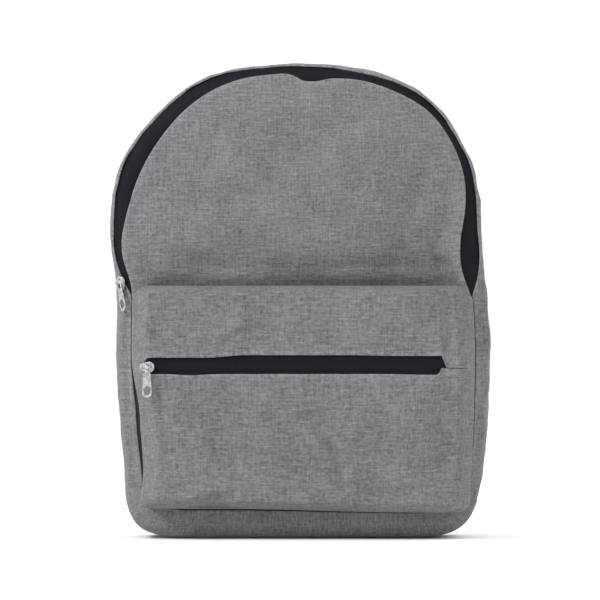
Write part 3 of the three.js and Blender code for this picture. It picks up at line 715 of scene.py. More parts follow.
# ---- the side walls
def wall_relief(run, s):
    x, z = place(run)
    inside = smooth((s - 6) / 14) * smooth((S_BACK - s) / 12) * (0.35 + 0.65 * smooth((z - 6) / 30))
    relief = (1.1 * ripple(run, s, 70, 21) + 0.3 * ripple(run, s, 22, 22)) * inside
    low_left = smooth((-x - 100) / 30) * smooth((205 - z) / 25) * smooth((z - 12) / 20)
    relief = relief + (0.6 * hump((s - 10.5) / 3) - 1.3 * hump((s - 5.4) / 2)) * low_left
    return relief * (1 - 0.35 * smooth((z - 300) / 70))


TUCK = 7.5                     # how far the lower gusset runs in under the upper one


def wall(name, start, end, nodes, tuck=0, lip=0):
    """Gusset cloth from start to end along the outline; tuck is how much dips under its neighbour."""
    run = np.linspace(start, end, int((end - start) / 3.2))[:, None]
    share = np.r_[0, 0.008, 0.018, 0.032, 0.05, 0.072, 0.1, np.linspace(0.13, 0.955, 30), 0.97, 0.985, 1]
    first = gusset_edge(run)
    s = first + (S_BACK - first) * share
    lift = lip * over_zip(run) * (1 - smooth((s - first) / 13)) + wall_relief(run, s)
    if tuck:
        lift = lift - 2 * (smooth((start + tuck - run) / 3) + smooth((run - end + tuck) / 3))
    return sheet_piece(name, on_shell(run, s, lift), CLOTH, (SHELL, LINING), (s, run, 40),
                       nodes, "bag", centre=(0, 0, 190))


def strip(name, run, s, lift, cloth, body, nodes=()):
    """A band of tape following the shell."""
    return sheet_piece(name, on_shell(run, s, lift), TAPE_THICK, (cloth, cloth), (run, s, 80), nodes,
                       body, centre=(0, 40, 200))


def main_zip():
    """The two halves of the main zip's tape, sunk where the cloth covers them."""
    run = np.linspace(ZIP_RUN + 0.5, LOOP - ZIP_RUN - 0.5, 300)[:, None]
    share = np.linspace(0, 1, 16)
    panel_s, gusset_s = panel_edge(run), gusset_edge(run)
    halves = []
    for name, sign, far, nodes, body in (
            ("main_zip_tape_front", -1, np.minimum(panel_s - 5, 2),
             ["main_zip_tape_flap", "main_zip_end_right", "main_zip_end_left"], None),
            ("main_zip_tape_side", 1, np.maximum(gusset_s + 5, 12), ["main_zip_tape_gusset"], "bag")):
        near = ZIP_S + 0.15 * sign
        s = near + (far - near) * share
        under = 1.7 * smooth((np.maximum(panel_s - s, s - gusset_s) + 0.5) / 5)
        lift = 0.55 * hump((s - ZIP_S) / 1.9) - 0.35 - under
        halves.append(strip(name, run, s, lift, TAPE, body, nodes))
    return halves


COIL_PITCH, COIL_STEP, COIL_HALF, COIL_SWELL = 1.68, 0.42, 1.05, 0.22
FRONT_COIL_S, SIDE_COIL_S, POCKET_COIL_OFF = 5.35, 7.9, 1.25
COIL_END, COIL_SUNK, POCKET_COIL_SUNK = 12, 2.35, 3.5  # how far it starts from the zip's end, and its depth


def coil_piece(name, centre, across, up, high, node, body):
    """A zip coil: a rounded strand whose loops stand out along it."""
    swell = 1 + COIL_SWELL * np.sin(2 * np.pi * distances(centre) / COIL_PITCH)
    rings = set_on(centre, across, up, circle(8, COIL_HALF, high)[None] * swell[:, None, None])
    return solid(name, bands(rings), COIL, body, [node])


def main_coil(name, s, node, body=None):
    run = np.arange(ZIP_RUN + COIL_END, LOOP - ZIP_RUN - COIL_END, COIL_STEP)
    centre = on_shell(run, s, -COIL_SUNK)
    across = unit(on_shell(run, s + 1, -COIL_SUNK) - on_shell(run, s - 1, -COIL_SUNK))
    return coil_piece(name, centre, across, unit(on_shell(run, s, 0) - centre), 0.95, node, body)


def seam_tape():
    run = np.linspace(-ZIP_RUN - 3, ZIP_RUN + 3, 200)[:, None]
    strip("front_seam_binding", run, np.linspace(-7, 7, 10) - seam_shift(*place(run)), -1.95, BINDING,
          "bag")


# ---- the front pocket
def rounded(t):
    t = np.clip(t, 0, 1)
    return np.sqrt(t * (2 - t))


def pocket_relief(x, z):
    """Creases and slack of the pocket's cloth, outwards positive."""
    away = np.minimum(POCKET_HALF - np.abs(x), np.minimum(POCKET_HIGH - z, z - POCKET_LOW))
    relief = 1.3 * ripple(x, z, 80, 31) + 0.5 * ripple(x, z, 30, 32) - 6.2 * smooth((x - 70) / 66) ** 2
    folds = sum(crease(x, z, *fold) for fold in POCKET_CREASES)
    return relief * smooth((away - 2) / 20) + folds * smooth(away / 9)


def on_pocket(x, z, lift):
    """Points of the pocket's face; x and z as on the flat face, lift outwards."""
    near = np.clip(POCKET_CORNER - np.minimum(POCKET_HIGH - z, z - POCKET_LOW), 0, POCKET_CORNER)
    half = POCKET_HALF - POCKET_CORNER + np.sqrt(POCKET_CORNER ** 2 - near ** 2) - 5 * left_turn(x, z)
    px = x * half / POCKET_HALF
    across = 1 - (1 - np.clip((half - np.abs(px)) / POCKET_SIDE, 0, 1)) ** 1.2
    down = rounded((POCKET_HIGH - z) / POCKET_TOP) * rounded((z - POCKET_LOW) / POCKET_BOTTOM)
    y = leaned(FRONT, z) - 0.6 - (POCKET_DEPTH + lift) * across * down - pocket_relief(px, z)
    hitched = (2.6 * hump((px + 74) / 17) - 3 * smooth((px + 60) / 150)) * smooth((58 - z) / 30)
    return settle(np.stack(np.broadcast_arrays(px, y, z + hitched), -1))


def zip_gap(x):
    """Heights of the two edges of the pocket's zip opening, which closes at both ends."""
    top = POCKET_ZIP_Z + 8.5 + 2.2 * smooth((x + 80) / 35) - 0.6 * smooth((x - 30) / 60)
    low = POCKET_ZIP_Z - 6.5 - 1 * hump((x + 92) / 14) - 0.5 * smooth((x - 60) / 50)
    left = smooth((x - POCKET_ZIP_LEFT - 3.5) / 6.5) ** 0.6
    middle = POCKET_ZIP_Z - 1.2
    return (middle + 0.5 + (top - middle - 0.5) * smooth((118.5 - x) / 2.5) * left,
            middle - 0.5 + (low - middle + 0.5) * smooth((115.5 - x) / 3.5) * left)


def pocket_panel(name, upper, nodes):
    side = POCKET_HALF - POCKET_SIDE * (1 - np.cos(np.linspace(0, np.pi / 2, 13)))
    x = np.r_[side[:-1], np.linspace(side[-1], -side[-1], 132), -side[-2::-1]]
    top_edge, low_edge = zip_gap(x)
    quarter = np.linspace(0, np.pi / 2, 14 if upper else 18)[:, None]
    if upper:
        share = POCKET_TOP / 62
        flat = np.r_[np.linspace(1 - share, 0.05, 26)[1:], 0.03, 0.014, 0][:, None]
        t = np.vstack([1 - (1 - np.cos(quarter)) * share, flat])
        z = top_edge + (POCKET_HIGH - top_edge) * t
        gap = z - top_edge
    else:
        share = POCKET_BOTTOM / 112
        flat = np.r_[np.linspace(share, 0.96, 48)[1:], 0.975, 0.99, 1][:, None]
        t = np.vstack([(1 - np.cos(quarter)) * share, flat])
        z = POCKET_LOW + (low_edge - POCKET_LOW) * t
        gap = low_edge - z
    # The cloth stands up towards the zip, with the groove of a stitched seam along it.
    grid = on_pocket(x, z, 0.9 * hump(gap / 7) - 0.45 * hump((gap - 3.4) / 0.7))
    across, down = travelled(grid, 1), travelled(grid, 0)
    weave = (across - across[:, 80:81], down - down[24], 120 + 100 * upper)
    return sheet_piece(name, grid, CLOTH, (SHELL, LINING), weave, nodes, "bag",
                       centre=(0, 0, 130))


def pocket_zip():
    for sign, end, node in ((1, "top", "upper"), (-1, "low", "lower")):
        x = np.linspace(POCKET_ZIP_LEFT + 1.5, POCKET_ZIP_RIGHT + 3, 190)
        off = np.linspace(0.16, 11, 14)[:, None]
        grid = on_pocket(x, POCKET_ZIP_Z + off * sign, 0.6 * hump((off - 0.2) / 1.7) - 1.35)
        sheet_piece(f"pocket_zip_tape_{end}", grid, TAPE_THICK, (TAPE, TAPE), (x, off * sign, 160),
                    [f"pocket_zip_tape_{node}"], "bag", centre=(0, 0, POCKET_ZIP_Z))
        run = np.arange(POCKET_ZIP_LEFT + 8, POCKET_ZIP_RIGHT - 3, COIL_STEP)
        centre = on_pocket(run, POCKET_ZIP_Z + sign * POCKET_COIL_OFF + 0 * run, -POCKET_COIL_SUNK)
        across, up = (np.tile(v, (len(run), 1)) for v in ((0, 0, 1), (0, -1, 0)))
        coil_piece(f"pocket_zip_coil_{end}", centre, across, up, 0.9, f"pocket_zip_coil_{node}", "bag")


fold_with_flap(front_shell())
wall("gusset_lower", -ZIP_RUN - TUCK, ZIP_RUN + TUCK, ["gusset_bottom", "gusset_right", "gusset_left"],
     TUCK)
wall("gusset_arch", ZIP_RUN, LOOP - ZIP_RUN, ["gusset_top"], lip=LIP)
fold_with_flap(main_zip()[0])
fold_with_flap(main_coil("main_zip_coil_front", FRONT_COIL_S, "main_zip_coil_flap"))
main_coil("main_zip_coil_side", SIDE_COIL_S, "main_zip_coil_gusset", "bag")
seam_tape()
pocket_panel("pocket_panel_top", True,
             ["pocket_panel_upper", "pocket_zip_end_right", "pocket_zip_end_left"])
pocket_panel("pocket_panel_main", False, ["pocket_panel_lower"])
pocket_zip()


# ---- sliders and pulls
SLIDER_LONG, SLIDER_WIDE, SLIDER_LIFT, SLIDER_PLATE = 12, 9.4, 0.4, 1.4
SLIDER_UNDER = -4.3            # upper face of the plate behind the pocket's zip
BRIDGE_RADIUS, POCKET_PIVOT, MAIN_PIVOT = 3.2, 4.4, 2.7
TAB_LONG, TAB_WIDE, TAB_THICK, TAB_HOLE, TAB_RIM = 23.5, 8.4, 1.2, 7.5, 1.45
PULL_LIFT, PULL_TURN = math.radians(8), math.radians(10)
MAIN_CIRCLE_Z, MAIN_CIRCLE_R, MAIN_DROP = 246, 151, 31
MAIN_TILT, MAIN_CLEAR, ZIP_DEPTH = math.radians(56), 2.3, 6.6 * math.sqrt(0.5)
POCKET_SLIDER = (-127.5, -69.96, POCKET_ZIP_Z)


def slider_outline(scale=1):
    half, tail = SLIDER_WIDE / 2, -SLIDER_LONG / 2 + 0.9
    side = [(tail, half * 0.60), (-1.6, half * 0.74), (0.2, half * 0.92)]
    points = [(x, -y) for x, y in side] + arc(SLIDER_LONG / 2 - half, 0, half, -80, 80, 23) + side[::-1]
    points = np.array(points + arc(tail, 0, half * 0.60, 110, 250, 7))
    points[:, 0] = np.clip(points[:, 0], -SLIDER_LONG / 2, SLIDER_LONG / 2)
    return points * scale


def slider_body(pivot, under):
    """Top plate with pressed rim and flanges, an arched bridge, and the lower plate where there is one."""
    top = SLIDER_LIFT + SLIDER_PLATE
    flange = ((-5.2, 2.5), (-3.4, 2.95), (-1.4, 3.45), (0.6, 3.95), (2.4, 4.05), (3.8, 3.5), (4.8, 2.6))
    rails = [[(x, sign * y, SLIDER_LIFT - 0.15) for x, y in flange] for sign in (-1, 1)]
    parts = [plate(slider_outline(), [], SLIDER_LIFT, top, 0.42),
             plate(slider_outline(0.74), [], top - 0.2, top + 0.28, 0.22),
             *(sweep(rail, (0, 1, 0), section_ring(0.9, 1.3, 0.3)) for rail in rails)]
    height = pivot - (BRIDGE_RADIUS if under else 0)
    bend = [(x, 0, z) for x, z in arc(0, height, BRIDGE_RADIUS, 0, 180, 15)]
    path = [(BRIDGE_RADIUS, 0, top - 0.5)] + bend + [(-BRIDGE_RADIUS, 0, top - 0.5)]
    parts.append(sweep(path, (0, 1, 0), section_ring(1.8, 1.5, 0.5)))
    if under:
        post = [(1.2, -0.4), (5, -0.4), (5, 0.4), (1.2, 0.4)]
        parts.append(plate(slider_outline(), [], SLIDER_UNDER - SLIDER_PLATE, SLIDER_UNDER, 0.4))
        parts.append(plate(post, [], SLIDER_UNDER - 0.4, 0.8, 0.15))
    return merged(parts)


def pull_tab(neck, eyelet=()):
    """A flat stamped tab hanging down -X with a long hole at its free end."""
    half = TAB_WIDE / 2
    side = [(-0.4, neck / 2), (-1.6, neck / 2 + 0.25), (-4, half * 0.72), (-8, half * 0.78),
            (-13, half * 0.9), (-17, half * 0.98)]
    outline = side + arc(-TAB_LONG + half, 0, half, 90, 270, 25) + [(x, -y) for x, y in side[::-1]]
    radius = half - TAB_RIM
    low = -TAB_LONG + 1.5 * TAB_RIM + radius
    high = low + TAB_HOLE - 2 * radius

    def long_hole(size):
        return arc(low, 0, size, 90, 270, 15) + arc(high, 0, size, -90, 90, 15)

    tab = plate(outline, [long_hole(radius)] + list(eyelet), -TAB_THICK / 2, TAB_THICK / 2, 0.34)
    lip = [(x, y, 0) for x, y in long_hole(radius + 0.28)]
    return merged([tab, sweep(lip, (0, 0, 1), section_ring(TAB_THICK + 0.34, 0.5, 0.2, 2), closed=True)])


def metal(name, shape, matrix, body):
    solid(name, in_place(shape, matrix), NICKEL, body, [body])


def pocket_hardware():
    matrix = basis((1, 0, 0), (0, 0, 1), (0, -1, 0), POCKET_SLIDER)
    metal("pocket_slider_body", slider_body(POCKET_PIVOT, True), matrix, "pocket_slider")
    ring = [(0, y, POCKET_PIVOT + z) for y, z in circle(20) * 1.85]
    eye = sweep(ring, (1, 0, 0), section_ring(2.4, 1, 0.4), closed=True)
    turn = basis((0, 1, 0), (-1, 0, 0), (0, 0, 1), (0, -1.9, POCKET_PIVOT))
    metal("pocket_pull_tab", merged([eye, in_place(pull_tab(3.2), turn)]), matrix, "pocket_pull")


def main_hardware():
    angle = math.asin(MAIN_DROP / MAIN_CIRCLE_R)
    radial = np.array([-math.cos(angle), 0, -math.sin(angle)])
    travel = np.array([radial[2], 0, -radial[0]])
    out = radial * math.sin(MAIN_TILT) + np.array([0, -math.cos(MAIN_TILT), 0])
    at = np.array([radial[0] * MAIN_CIRCLE_R, 0, MAIN_CIRCLE_Z - MAIN_DROP])
    at[1] = leaned(FRONT + ZIP_DEPTH, at[2])
    matrix = basis(travel, np.cross(out, travel), out, at + out * MAIN_CLEAR)
    metal("main_slider_body", slider_body(MAIN_PIVOT, False), matrix, "main_slider")
    slot = [(-0.9, 1.35), (-1.2, 1.6), (-4.1, 1.6), (-4.4, 1.35)]
    slot = [(slot[0][0], -slot[0][1])] + slot + [(x, -y) for x, y in slot[:0:-1]]
    c, s = math.cos(PULL_LIFT), math.sin(PULL_LIFT)
    a, b = math.cos(PULL_TURN), math.sin(PULL_TURN)
    turned = basis((a, b, 0), (-b, a, 0), (0, 0, 1), (-BRIDGE_RADIUS, 0, 0))
    shifted = basis((1, 0, 0), (0, 1, 0), (0, 0, 1), (BRIDGE_RADIUS - 0.5, 0, 0))
    lifted = basis((c, 0, -s), (0, 1, 0), (s, 0, c), (0, 0, MAIN_PIVOT)) @ turned @ shifted
    metal("main_pull_tab", pull_tab(4.8, [slot]), matrix @ lifted, "main_pull")


pocket_hardware()
main_hardware()


# ---- sewing
# A stitch by its length: how far along, how wide, how high above the cloth.
STITCH = np.array([(-0.5, 0.2, -0.8), (-0.42, 0.75, -0.25), (-0.15, 1, 0.25), (0.15, 1, 0.25),
                   (0.42, 0.75, -0.25), (0.5, 0.2, -0.8)])


def evenly(path, count):
    path = np.asarray(path, float)
    return sample(path, np.linspace(0, distances(path)[-1], count))


def thread(path, normal, length=2.9, gap=1, radius=0.27, sink=0.1):
    """Stitches along a path, each a small sunken capsule."""
    path = np.asarray(path, float)
    count = max(1, int(distances(path)[-1] / (length + gap)))
    middle = (np.arange(count) + 0.5) * distances(path)[-1] / count
    out = unit(sample(path, middle, np.broadcast_to(np.asarray(normal, float), path.shape)))
    run = unit(sample(path, middle + length / 2) - sample(path, middle - length / 2))
    ring = circle(6)
    rounds = np.cross(run, out)[:, None] * ring[:, :1] + out[:, None] * ring[:, 1:]
    rise = STITCH[:, 2:] * radius + radius * 0.4 - sink
    spine = set_on(sample(path, middle), run, out, np.hstack([STITCH[:, :1] * length, rise]))
    rings = spine[:, :, None] + rounds[:, None] * STITCH[None, :, 1, None, None] * radius
    return merged([bands(r) for r in rings])


def sewing(name, parts, body):
    solid(name, merged(parts), THREAD, body)


def stitches(name, path, normal, body, sink=0.1):
    sewing(name, [thread(path, normal, sink=sink)], body)


def bar_tack(centre, along, across, out, wide, long, rows):
    """A dense block of long stitches lying along one direction."""
    centre, along, across = (np.asarray(v, float) for v in (centre, along, across))
    ends = along * np.array([[-0.5], [0.5]]) * long
    return [thread(centre + across * o + ends, out, length=long, gap=0, radius=0.33)
            for o in np.linspace(-wide / 2, wide / 2, rows)]


# ---- the back: panel, foam, lining, piping
def inset_point(run, inset, y):
    x, z = moved_in(run, inset)
    return settle(np.stack(np.broadcast_arrays(x, y, z), -1))


def back_layer(name, inset, y, thickness, cloths, node, relief=0):
    """A panel the shape of the back; y is its outer face's depth, and its relief swells to the back."""
    run = np.arange(320) * LOOP / 320
    rows = [inset_point(run, inset + d, y) for d in (0, 1, 2.5, 5, 9, 14)]
    centre, rim = np.array([0, y, 200]), rows[-1]
    grid = np.stack(rows + [centre + (rim - centre) * g for g in np.linspace(1, 0.006, 44)[1:]])
    x, z = grid[..., 0], grid[..., 2]
    grid[..., 1] += relief * ripple(x, z, 60, 41) * smooth(travelled(grid, 0) / 20)
    sheet_piece(name, grid, thickness, cloths, (x, z, 200), [node], "bag", disc=True,
                centre=(0, y - 60 if relief >= 0 else y + 60, 200))


MESH_THICK, FOAM_THICK, LINING_THICK, LINING_Y = 1.7, 5.6, 1.2, 39.9
PIPING_S, PIPING_RADIUS = 104.4, 2


def back_parts():
    back_layer("back_panel_mesh", 7, BACK - 0.2, MESH_THICK, (AIR_MESH, LINING), "back_panel",
               0.25)
    back_layer("back_foam_sheet", 8.2, BACK - 2.4, FOAM_THICK, (FOAM, FOAM), "back_foam")
    back_layer("back_lining_panel", 8.2, LINING_Y, LINING_THICK, (LINING, LINING),
               "back_lining", -0.35)
    run = np.arange(420) * LOOP / 420
    cord = sweep(on_shell(run, PIPING_S, 0.6), (0, 1, 0), circle(12) * PIPING_RADIUS, closed=True)
    turn = np.tile(np.linspace(0, 4 * np.pi, 12, endpoint=False), len(run))
    # The piping is painted a little lighter all over: a painted highlight.
    solid("back_piping", cord, STRAPPING, "bag", (), (np.repeat(run, 12), turn, 240), 0.3)
    run = np.linspace(run_at(40), LOOP - run_at(40), 260)[:, None]
    inset, depth = np.array([(7.4, 39), (7.2, 36.6), (7.7, 34.8), (9.2, 34.4), (10.6, 34.8), (11, 36.6),
                             (11, 39)]).T
    sheet_piece("back_seam_tape", inset_point(run, inset, depth), 0.7, (BINDING, BINDING),
                (run, inset + depth, 260), ["back_seam_binding"], "bag",
                centre=(0, 60, 200))


# ---- padded pieces
def result(piece):
    """The piece as its modifiers make it at this frame."""
    return piece.evaluated_get(bpy.context.evaluated_depsgraph_get())


def replace_mesh(piece):
    """Takes the modifiers' result as the piece's mesh."""
    made = bpy.data.meshes.new_from_object(result(piece))
    piece.modifiers.clear()
    old, piece.data = piece.data, made
    bpy.data.meshes.remove(old)


def triples(items, key):
    """A value of three numbers from each of a mesh's points or faces."""
    flat = np.empty(len(items) * 3)
    items.foreach_get(key, flat)
    return flat.reshape(-1, 3)


def inflate(piece, voxel, cap, pinned):
    """Fills a thin closed pad by cloth simulation, cap mm at most; pinned says what the sewing holds."""
    remesh = piece.modifiers.new("remesh", "REMESH")
    remesh.mode, remesh.voxel_size = "VOXEL", voxel * MM
    replace_mesh(piece)
    rest = triples(piece.data.vertices, "co")
    group = piece.vertex_groups.new(name="pin")
    for k, held in enumerate(pinned(rest / MM)):
        group.add([k], float(held), "REPLACE")
    settings = piece.modifiers.new("cloth", "CLOTH").settings
    settings.use_pressure, settings.uniform_pressure_force = True, PRESSURE
    settings.effector_weights.gravity = 0
    settings.vertex_group_mass = "pin"
    settings.tension_stiffness = settings.compression_stiffness = 12
    settings.bending_stiffness = 2
    settings.quality = 6
    for number in range(1, FILL_FRAMES + 1):
        SCENE.frame_set(number)
    move = triples(result(piece).data.vertices, "co") - rest
    piece.modifiers.clear()
    SCENE.frame_set(1)
    length = np.maximum(np.linalg.norm(move, axis=1), 1e-9)[:, None]
    moved = rest + move * np.minimum(1, cap * MM / length)
    piece.data.vertices.foreach_set("co", moved.ravel())
    piece.data.update()
    piece.vertex_groups.clear()
    finer = piece.modifiers.new("finer", "SUBSURF")
    finer.levels = finer.render_levels = 1
    replace_mesh(piece)
    piece.data.polygons.foreach_set("use_smooth", np.full(len(piece.data.polygons), True))
    return triples(piece.data.vertices, "co") / MM


def padded_pair(pad, name, body, node=""):
    """A filled pad and its copy on the other side of the bag, named by side."""
    copy = add_object(f"{name}_left", pad.data.copy())
    copy.data.name = copy.name
    copy.data.transform(Matrix.Scale(-1, 4, Vector((1, 0, 0))))
    turn_outward(copy)
    for piece, (_, hand) in zip((pad, copy), SIDES):
        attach(piece, body.format(hand))
        stands_for(piece, [node.format(hand)] if node else ())


def standing(outline, low, high, bevel):
    """A plate stood upright: its outline in X and Z, its faces at depths low and high."""
    points, faces = plate(outline, [], low, high, bevel)
    return points[:, [0, 2, 1]], faces


PAD_X, PAD_Z, PAD_CHANNELS, PAD_RIM = (13, 101), (88, 316), (164, 240), 3
PRESSURE, FILL_FRAMES = 6, 20


def back_pads():
    low, high = np.transpose([PAD_X, PAD_Z])
    middle, size = (low + high) / 2, high - low - 2 * PAD_RIM
    shape = standing(section_ring(*size, 20, 8) + middle, BACK + 0.4, BACK + 5.6, 1.6)
    pad = turn_outward(new_mesh("back_pad_right", *shape, [AIR_MESH]))

    def pinned(co):
        rim = np.minimum(co[:, [0, 2]] - low, high - co[:, [0, 2]]).min(axis=1)
        channel = np.max([1 - np.clip(np.abs(co[:, 2] - z) / 5 - 0.3, 0, 1) for z in PAD_CHANNELS], axis=0)
        return np.maximum.reduce([np.clip(1.4 - rim / 7, 0, 1), channel * 0.95, co[:, 1] < BACK + 2])

    co = inflate(pad, 4.5, 9, pinned)
    dress(pad, (co[:, 0], co[:, 2], 300), materials=[AIR_MESH])
    padded_pair(pad, "back_pad", "bag")
    edge = section_ring(*(size + PAD_RIM), 21, 10) + middle
    for sign, hand in SIDES:
        path = np.insert(edge[np.r_[:len(edge), 0]] * (sign, 1), 1, BACK + 0.1, 1)
        stitches(f"back_pad_stitching_{hand}", path, (0, 1, 0), "bag", sink=0)


# ---- shoulder straps
STRAP_ROUTE = [(46, 59, 338), (52, 76, 318), (62, 89, 275), (72, 93, 228), (80, 87, 178), (85, 74, 132),
               (86, 68, 112)]
STRAP_HALF, WEB_WIDE, WEB_THICK, WEB_RISE = 29, 20, 1.6, 7
LOCK_WIDE, LOCK_THICK, LOCK_BAR, LOCK_SLOT = 31, 3, 3.6, 7
LOCK_TALL, LOCK_MIDDLE = 3 * LOCK_BAR + 2 * LOCK_SLOT, LOCK_BAR + LOCK_SLOT
LOCK_AT = np.array([86.62, 64.27, 99.56])
LOCK_X, LOCK_DOWN = np.array([0.9989, 0.0137, 0.0458]), np.array([0.0478, -0.287, -0.9567])
LOCK_REAR = np.array([0, 0.9578, -0.2874])
WRAP = math.hypot(LOCK_THICK, LOCK_BAR) / 2 + 0.6 + WEB_THICK / 2
ANCHOR_X, ANCHOR_Z, ROOT_X, LOOP_X_END, LOOP_Z_END, LOOP_Y = 116, 28, 45, 32, 388, 54.6


def spline(points, count):
    """A smooth curve through points, evenly spaced."""
    p = np.asarray(points, float)
    p = np.vstack([2 * p[0] - p[1], p, 2 * p[-1] - p[-2]])
    knots = np.r_[0, np.cumsum(np.sqrt(np.linalg.norm(np.diff(p, axis=0), axis=1)))]
    out = []
    for k in range(1, len(p) - 2):
        t = np.linspace(knots[k], knots[k + 1], 24, endpoint=False)[:, None]
        near, row = knots[k - 1:k + 3], p[k - 1:k + 3]
        for reach, first in ((1, 0), (2, 0), (1, 1)):
            row = [((near[i + reach] - t) * row[i - first] + (t - near[i]) * row[i - first + 1])
                   / (near[i + reach] - near[i]) for i in range(first, len(row) - 1 + first)]
        out.append(row[0])
    return evenly(np.vstack(out + [p[-2:-1]]), count)


def strap_frame(path):
    """Directions at each point of a strap's path: along it, to the right and to the rear."""
    tangent = unit(np.gradient(path, axis=0))
    rear = unit(np.cross(tangent, (-1, 0, 0)))
    rear = np.where(rear[:, 1:2] < 0, -rear, rear)
    side = unit(np.cross(rear, tangent))
    return tangent, np.where(side[:, :1] < 0, -side, side), rear


def strap_half_width(t):
    wide = 0.9 + 0.1 * np.sin(np.pi * np.clip(t, 0, 0.8) / 0.8)
    return STRAP_HALF * np.where(t < 0.8, wide, 0.9 - 1.9 * (t - 0.8))


def ribbon(name, path, side, width, offset, body=None, nodes=(), cloth=None, thickness=WEB_THICK, across=9,
           crown=0):
    """Webbing along a path; side runs across its width, and offset shifts its weave."""
    path = np.asarray(path, float)
    v = np.linspace(-1, 1, across)
    rise, half = thickness / 2 + crown * (1 - v ** 2), np.broadcast_to(width, (len(path),))[:, None] / 2
    ring = np.r_[v, 1, v[::-1], -1]
    wide = ring * half + np.r_[0 * v, 1, 0 * v, -1] * 0.45 * thickness
    high = np.r_[rise, 0, rise[::-1] - thickness, 0]
    rings = set_on(path, *crosswise(path, side), np.stack(np.broadcast_arrays(wide, high), -1))
    # The webbing's two edges get the painted highlight.
    return solid(name, bands(rings), cloth or WEBBING, body, nodes,
                 (distances(path)[:, None], ring * half, offset), np.tile(np.abs(ring) == 1, len(path)))


def strap_pad(path):
    """The right strap's foam pad, filled by simulation."""
    t = np.linspace(0, 1, len(path))
    _, side, rear = strap_frame(path)
    half = strap_half_width(t) - 1
    v = np.array([-1, -0.93, -0.8, -0.5, 0, 0.5, 0.8, 0.93, 1])
    thick = np.array([1.1, 1.9, 2.6, 3, 3.2, 3, 2.6, 1.9, 1.1])
    ends = np.clip(0.7 + np.minimum(t, 1 - t) * 10, 0.7, 1)
    section = np.stack([np.r_[v, v[::-1]] * half[:, None], np.r_[thick, -thick] * ends[:, None]], -1)
    pad = turn_outward(new_mesh("strap_pad_right", *bands(set_on(path, side, rear, section)), [STRAPPING]))

    def share(co):
        return np.interp(co[:, 2], path[::-1, 2], t[::-1])

    def pinned(co):
        at = share(co)
        rim = np.interp(at, t, half) - np.abs(co[:, 0] - np.interp(at, t, path[:, 0]))
        return np.maximum(np.clip(1.5 - rim / 5, 0, 1), np.clip(1.4 - np.minimum(at, 1 - at) / 0.04, 0, 1))

    co = inflate(pad, 4.2, 4, pinned)
    dress(pad, (co[:, 0] + 500, -share(co) * distances(path)[-1], 340), materials=[STRAPPING, AIR_MESH],
          faces=triples(pad.data.polygons, "normal")[:, 1] < -0.1)
    return pad


def strap_set():
    path = spline(STRAP_ROUTE, 60)
    padded_pair(strap_pad(path), "strap_pad", "strap_{}", "shoulder_strap_{}")
    for sign, hand in SIDES:
        flip = np.array([sign, 1, 1])
        strap_trim(flip, hand, path * flip)
        ladder_lock(flip, hand)
        adjuster(flip, hand)
        anchor_tab(sign, hand)


def strap_trim(flip, hand, path):
    body = f"strap_{hand}"
    tangent, side, rear = strap_frame(path)
    half = strap_half_width(np.linspace(0, 1, len(path)))[:, None]
    # Folded binding sewn over the pad's rim.
    low, high = path - side * (half - 0.6), path + side * (half - 0.6)
    start = spline([low[0], path[0] + tangent[0] * 1.4, high[0]], 14)[1:-1]
    finish = spline([high[-1], path[-1] - tangent[-1] * 1.4, low[-1]], 10)[1:-1]
    rim = np.vstack([low[::-1], start, high, finish])
    away = np.vstack([-side[::-1], 0 * start - tangent[0], side, 0 * finish + tangent[-1]])
    upright = np.vstack([rear[::-1], 0 * start + rear[0], rear, 0 * finish + rear[-1]])
    outer = np.array([(-5.2, 3.3), (-3, 2.9), (-0.8, 2.4), (0.5, 1.5), (0.9, 0)])
    inner = np.array([(-5.3, 2.6), (-3, 2.2), (-0.9, 1.6), (0.1, 0)])
    fold = np.vstack([outer, outer[-2::-1] * (1, -1), inner[:-1] * (1, -1), inner[::-1]])
    solid(f"strap_binding_{hand}", bands(set_on(rim, away, upright, fold), closed=True), BINDING,
          body, weave=(distances(rim)[:, None], distances(fold), 360))
    row = rim - away * 3.6 + upright * 3.1
    stitches(f"strap_stitching_{hand}", np.vstack([row, row[:1]]), np.vstack([upright, upright[:1]]), body)
    # Webbing down the outer face, round the lock's top bar and back under the pad's end.
    down = LOCK_DOWN * flip
    face = evenly(path, 400)[40:396]
    face = (face + strap_frame(face)[2] * WEB_RISE)[::8]
    bend = [LOCK_AT * flip + LOCK_REAR * y * WRAP + down * z * WRAP for y, z in arc(0, 0, 1, 0, 180, 11)]
    sewn = spline(list(face) + bend + [bend[-1] - down * 5], 120)
    ribbon(f"strap_web_{hand}", sewn, (1, 0, 0), WEB_WIDE, 420, body, [f"strap_webbing_{hand}"])
    along, across, out = strap_frame(sewn[:100])
    surface = sewn[:100] + out * 0.85
    for edge, label in ((-8, "inner"), (8, "outer")):
        stitches(f"strap_web_{label}_stitching_{hand}", (surface + across * edge)[2:96], out[2:96], body)
    blocks = [bar_tack(surface[k], across[k], along[k], out[50], 4, 17, 6) for k in (3, 34, 64, 92)]
    sewing(f"strap_tacks_{hand}", sum(blocks, []), body)


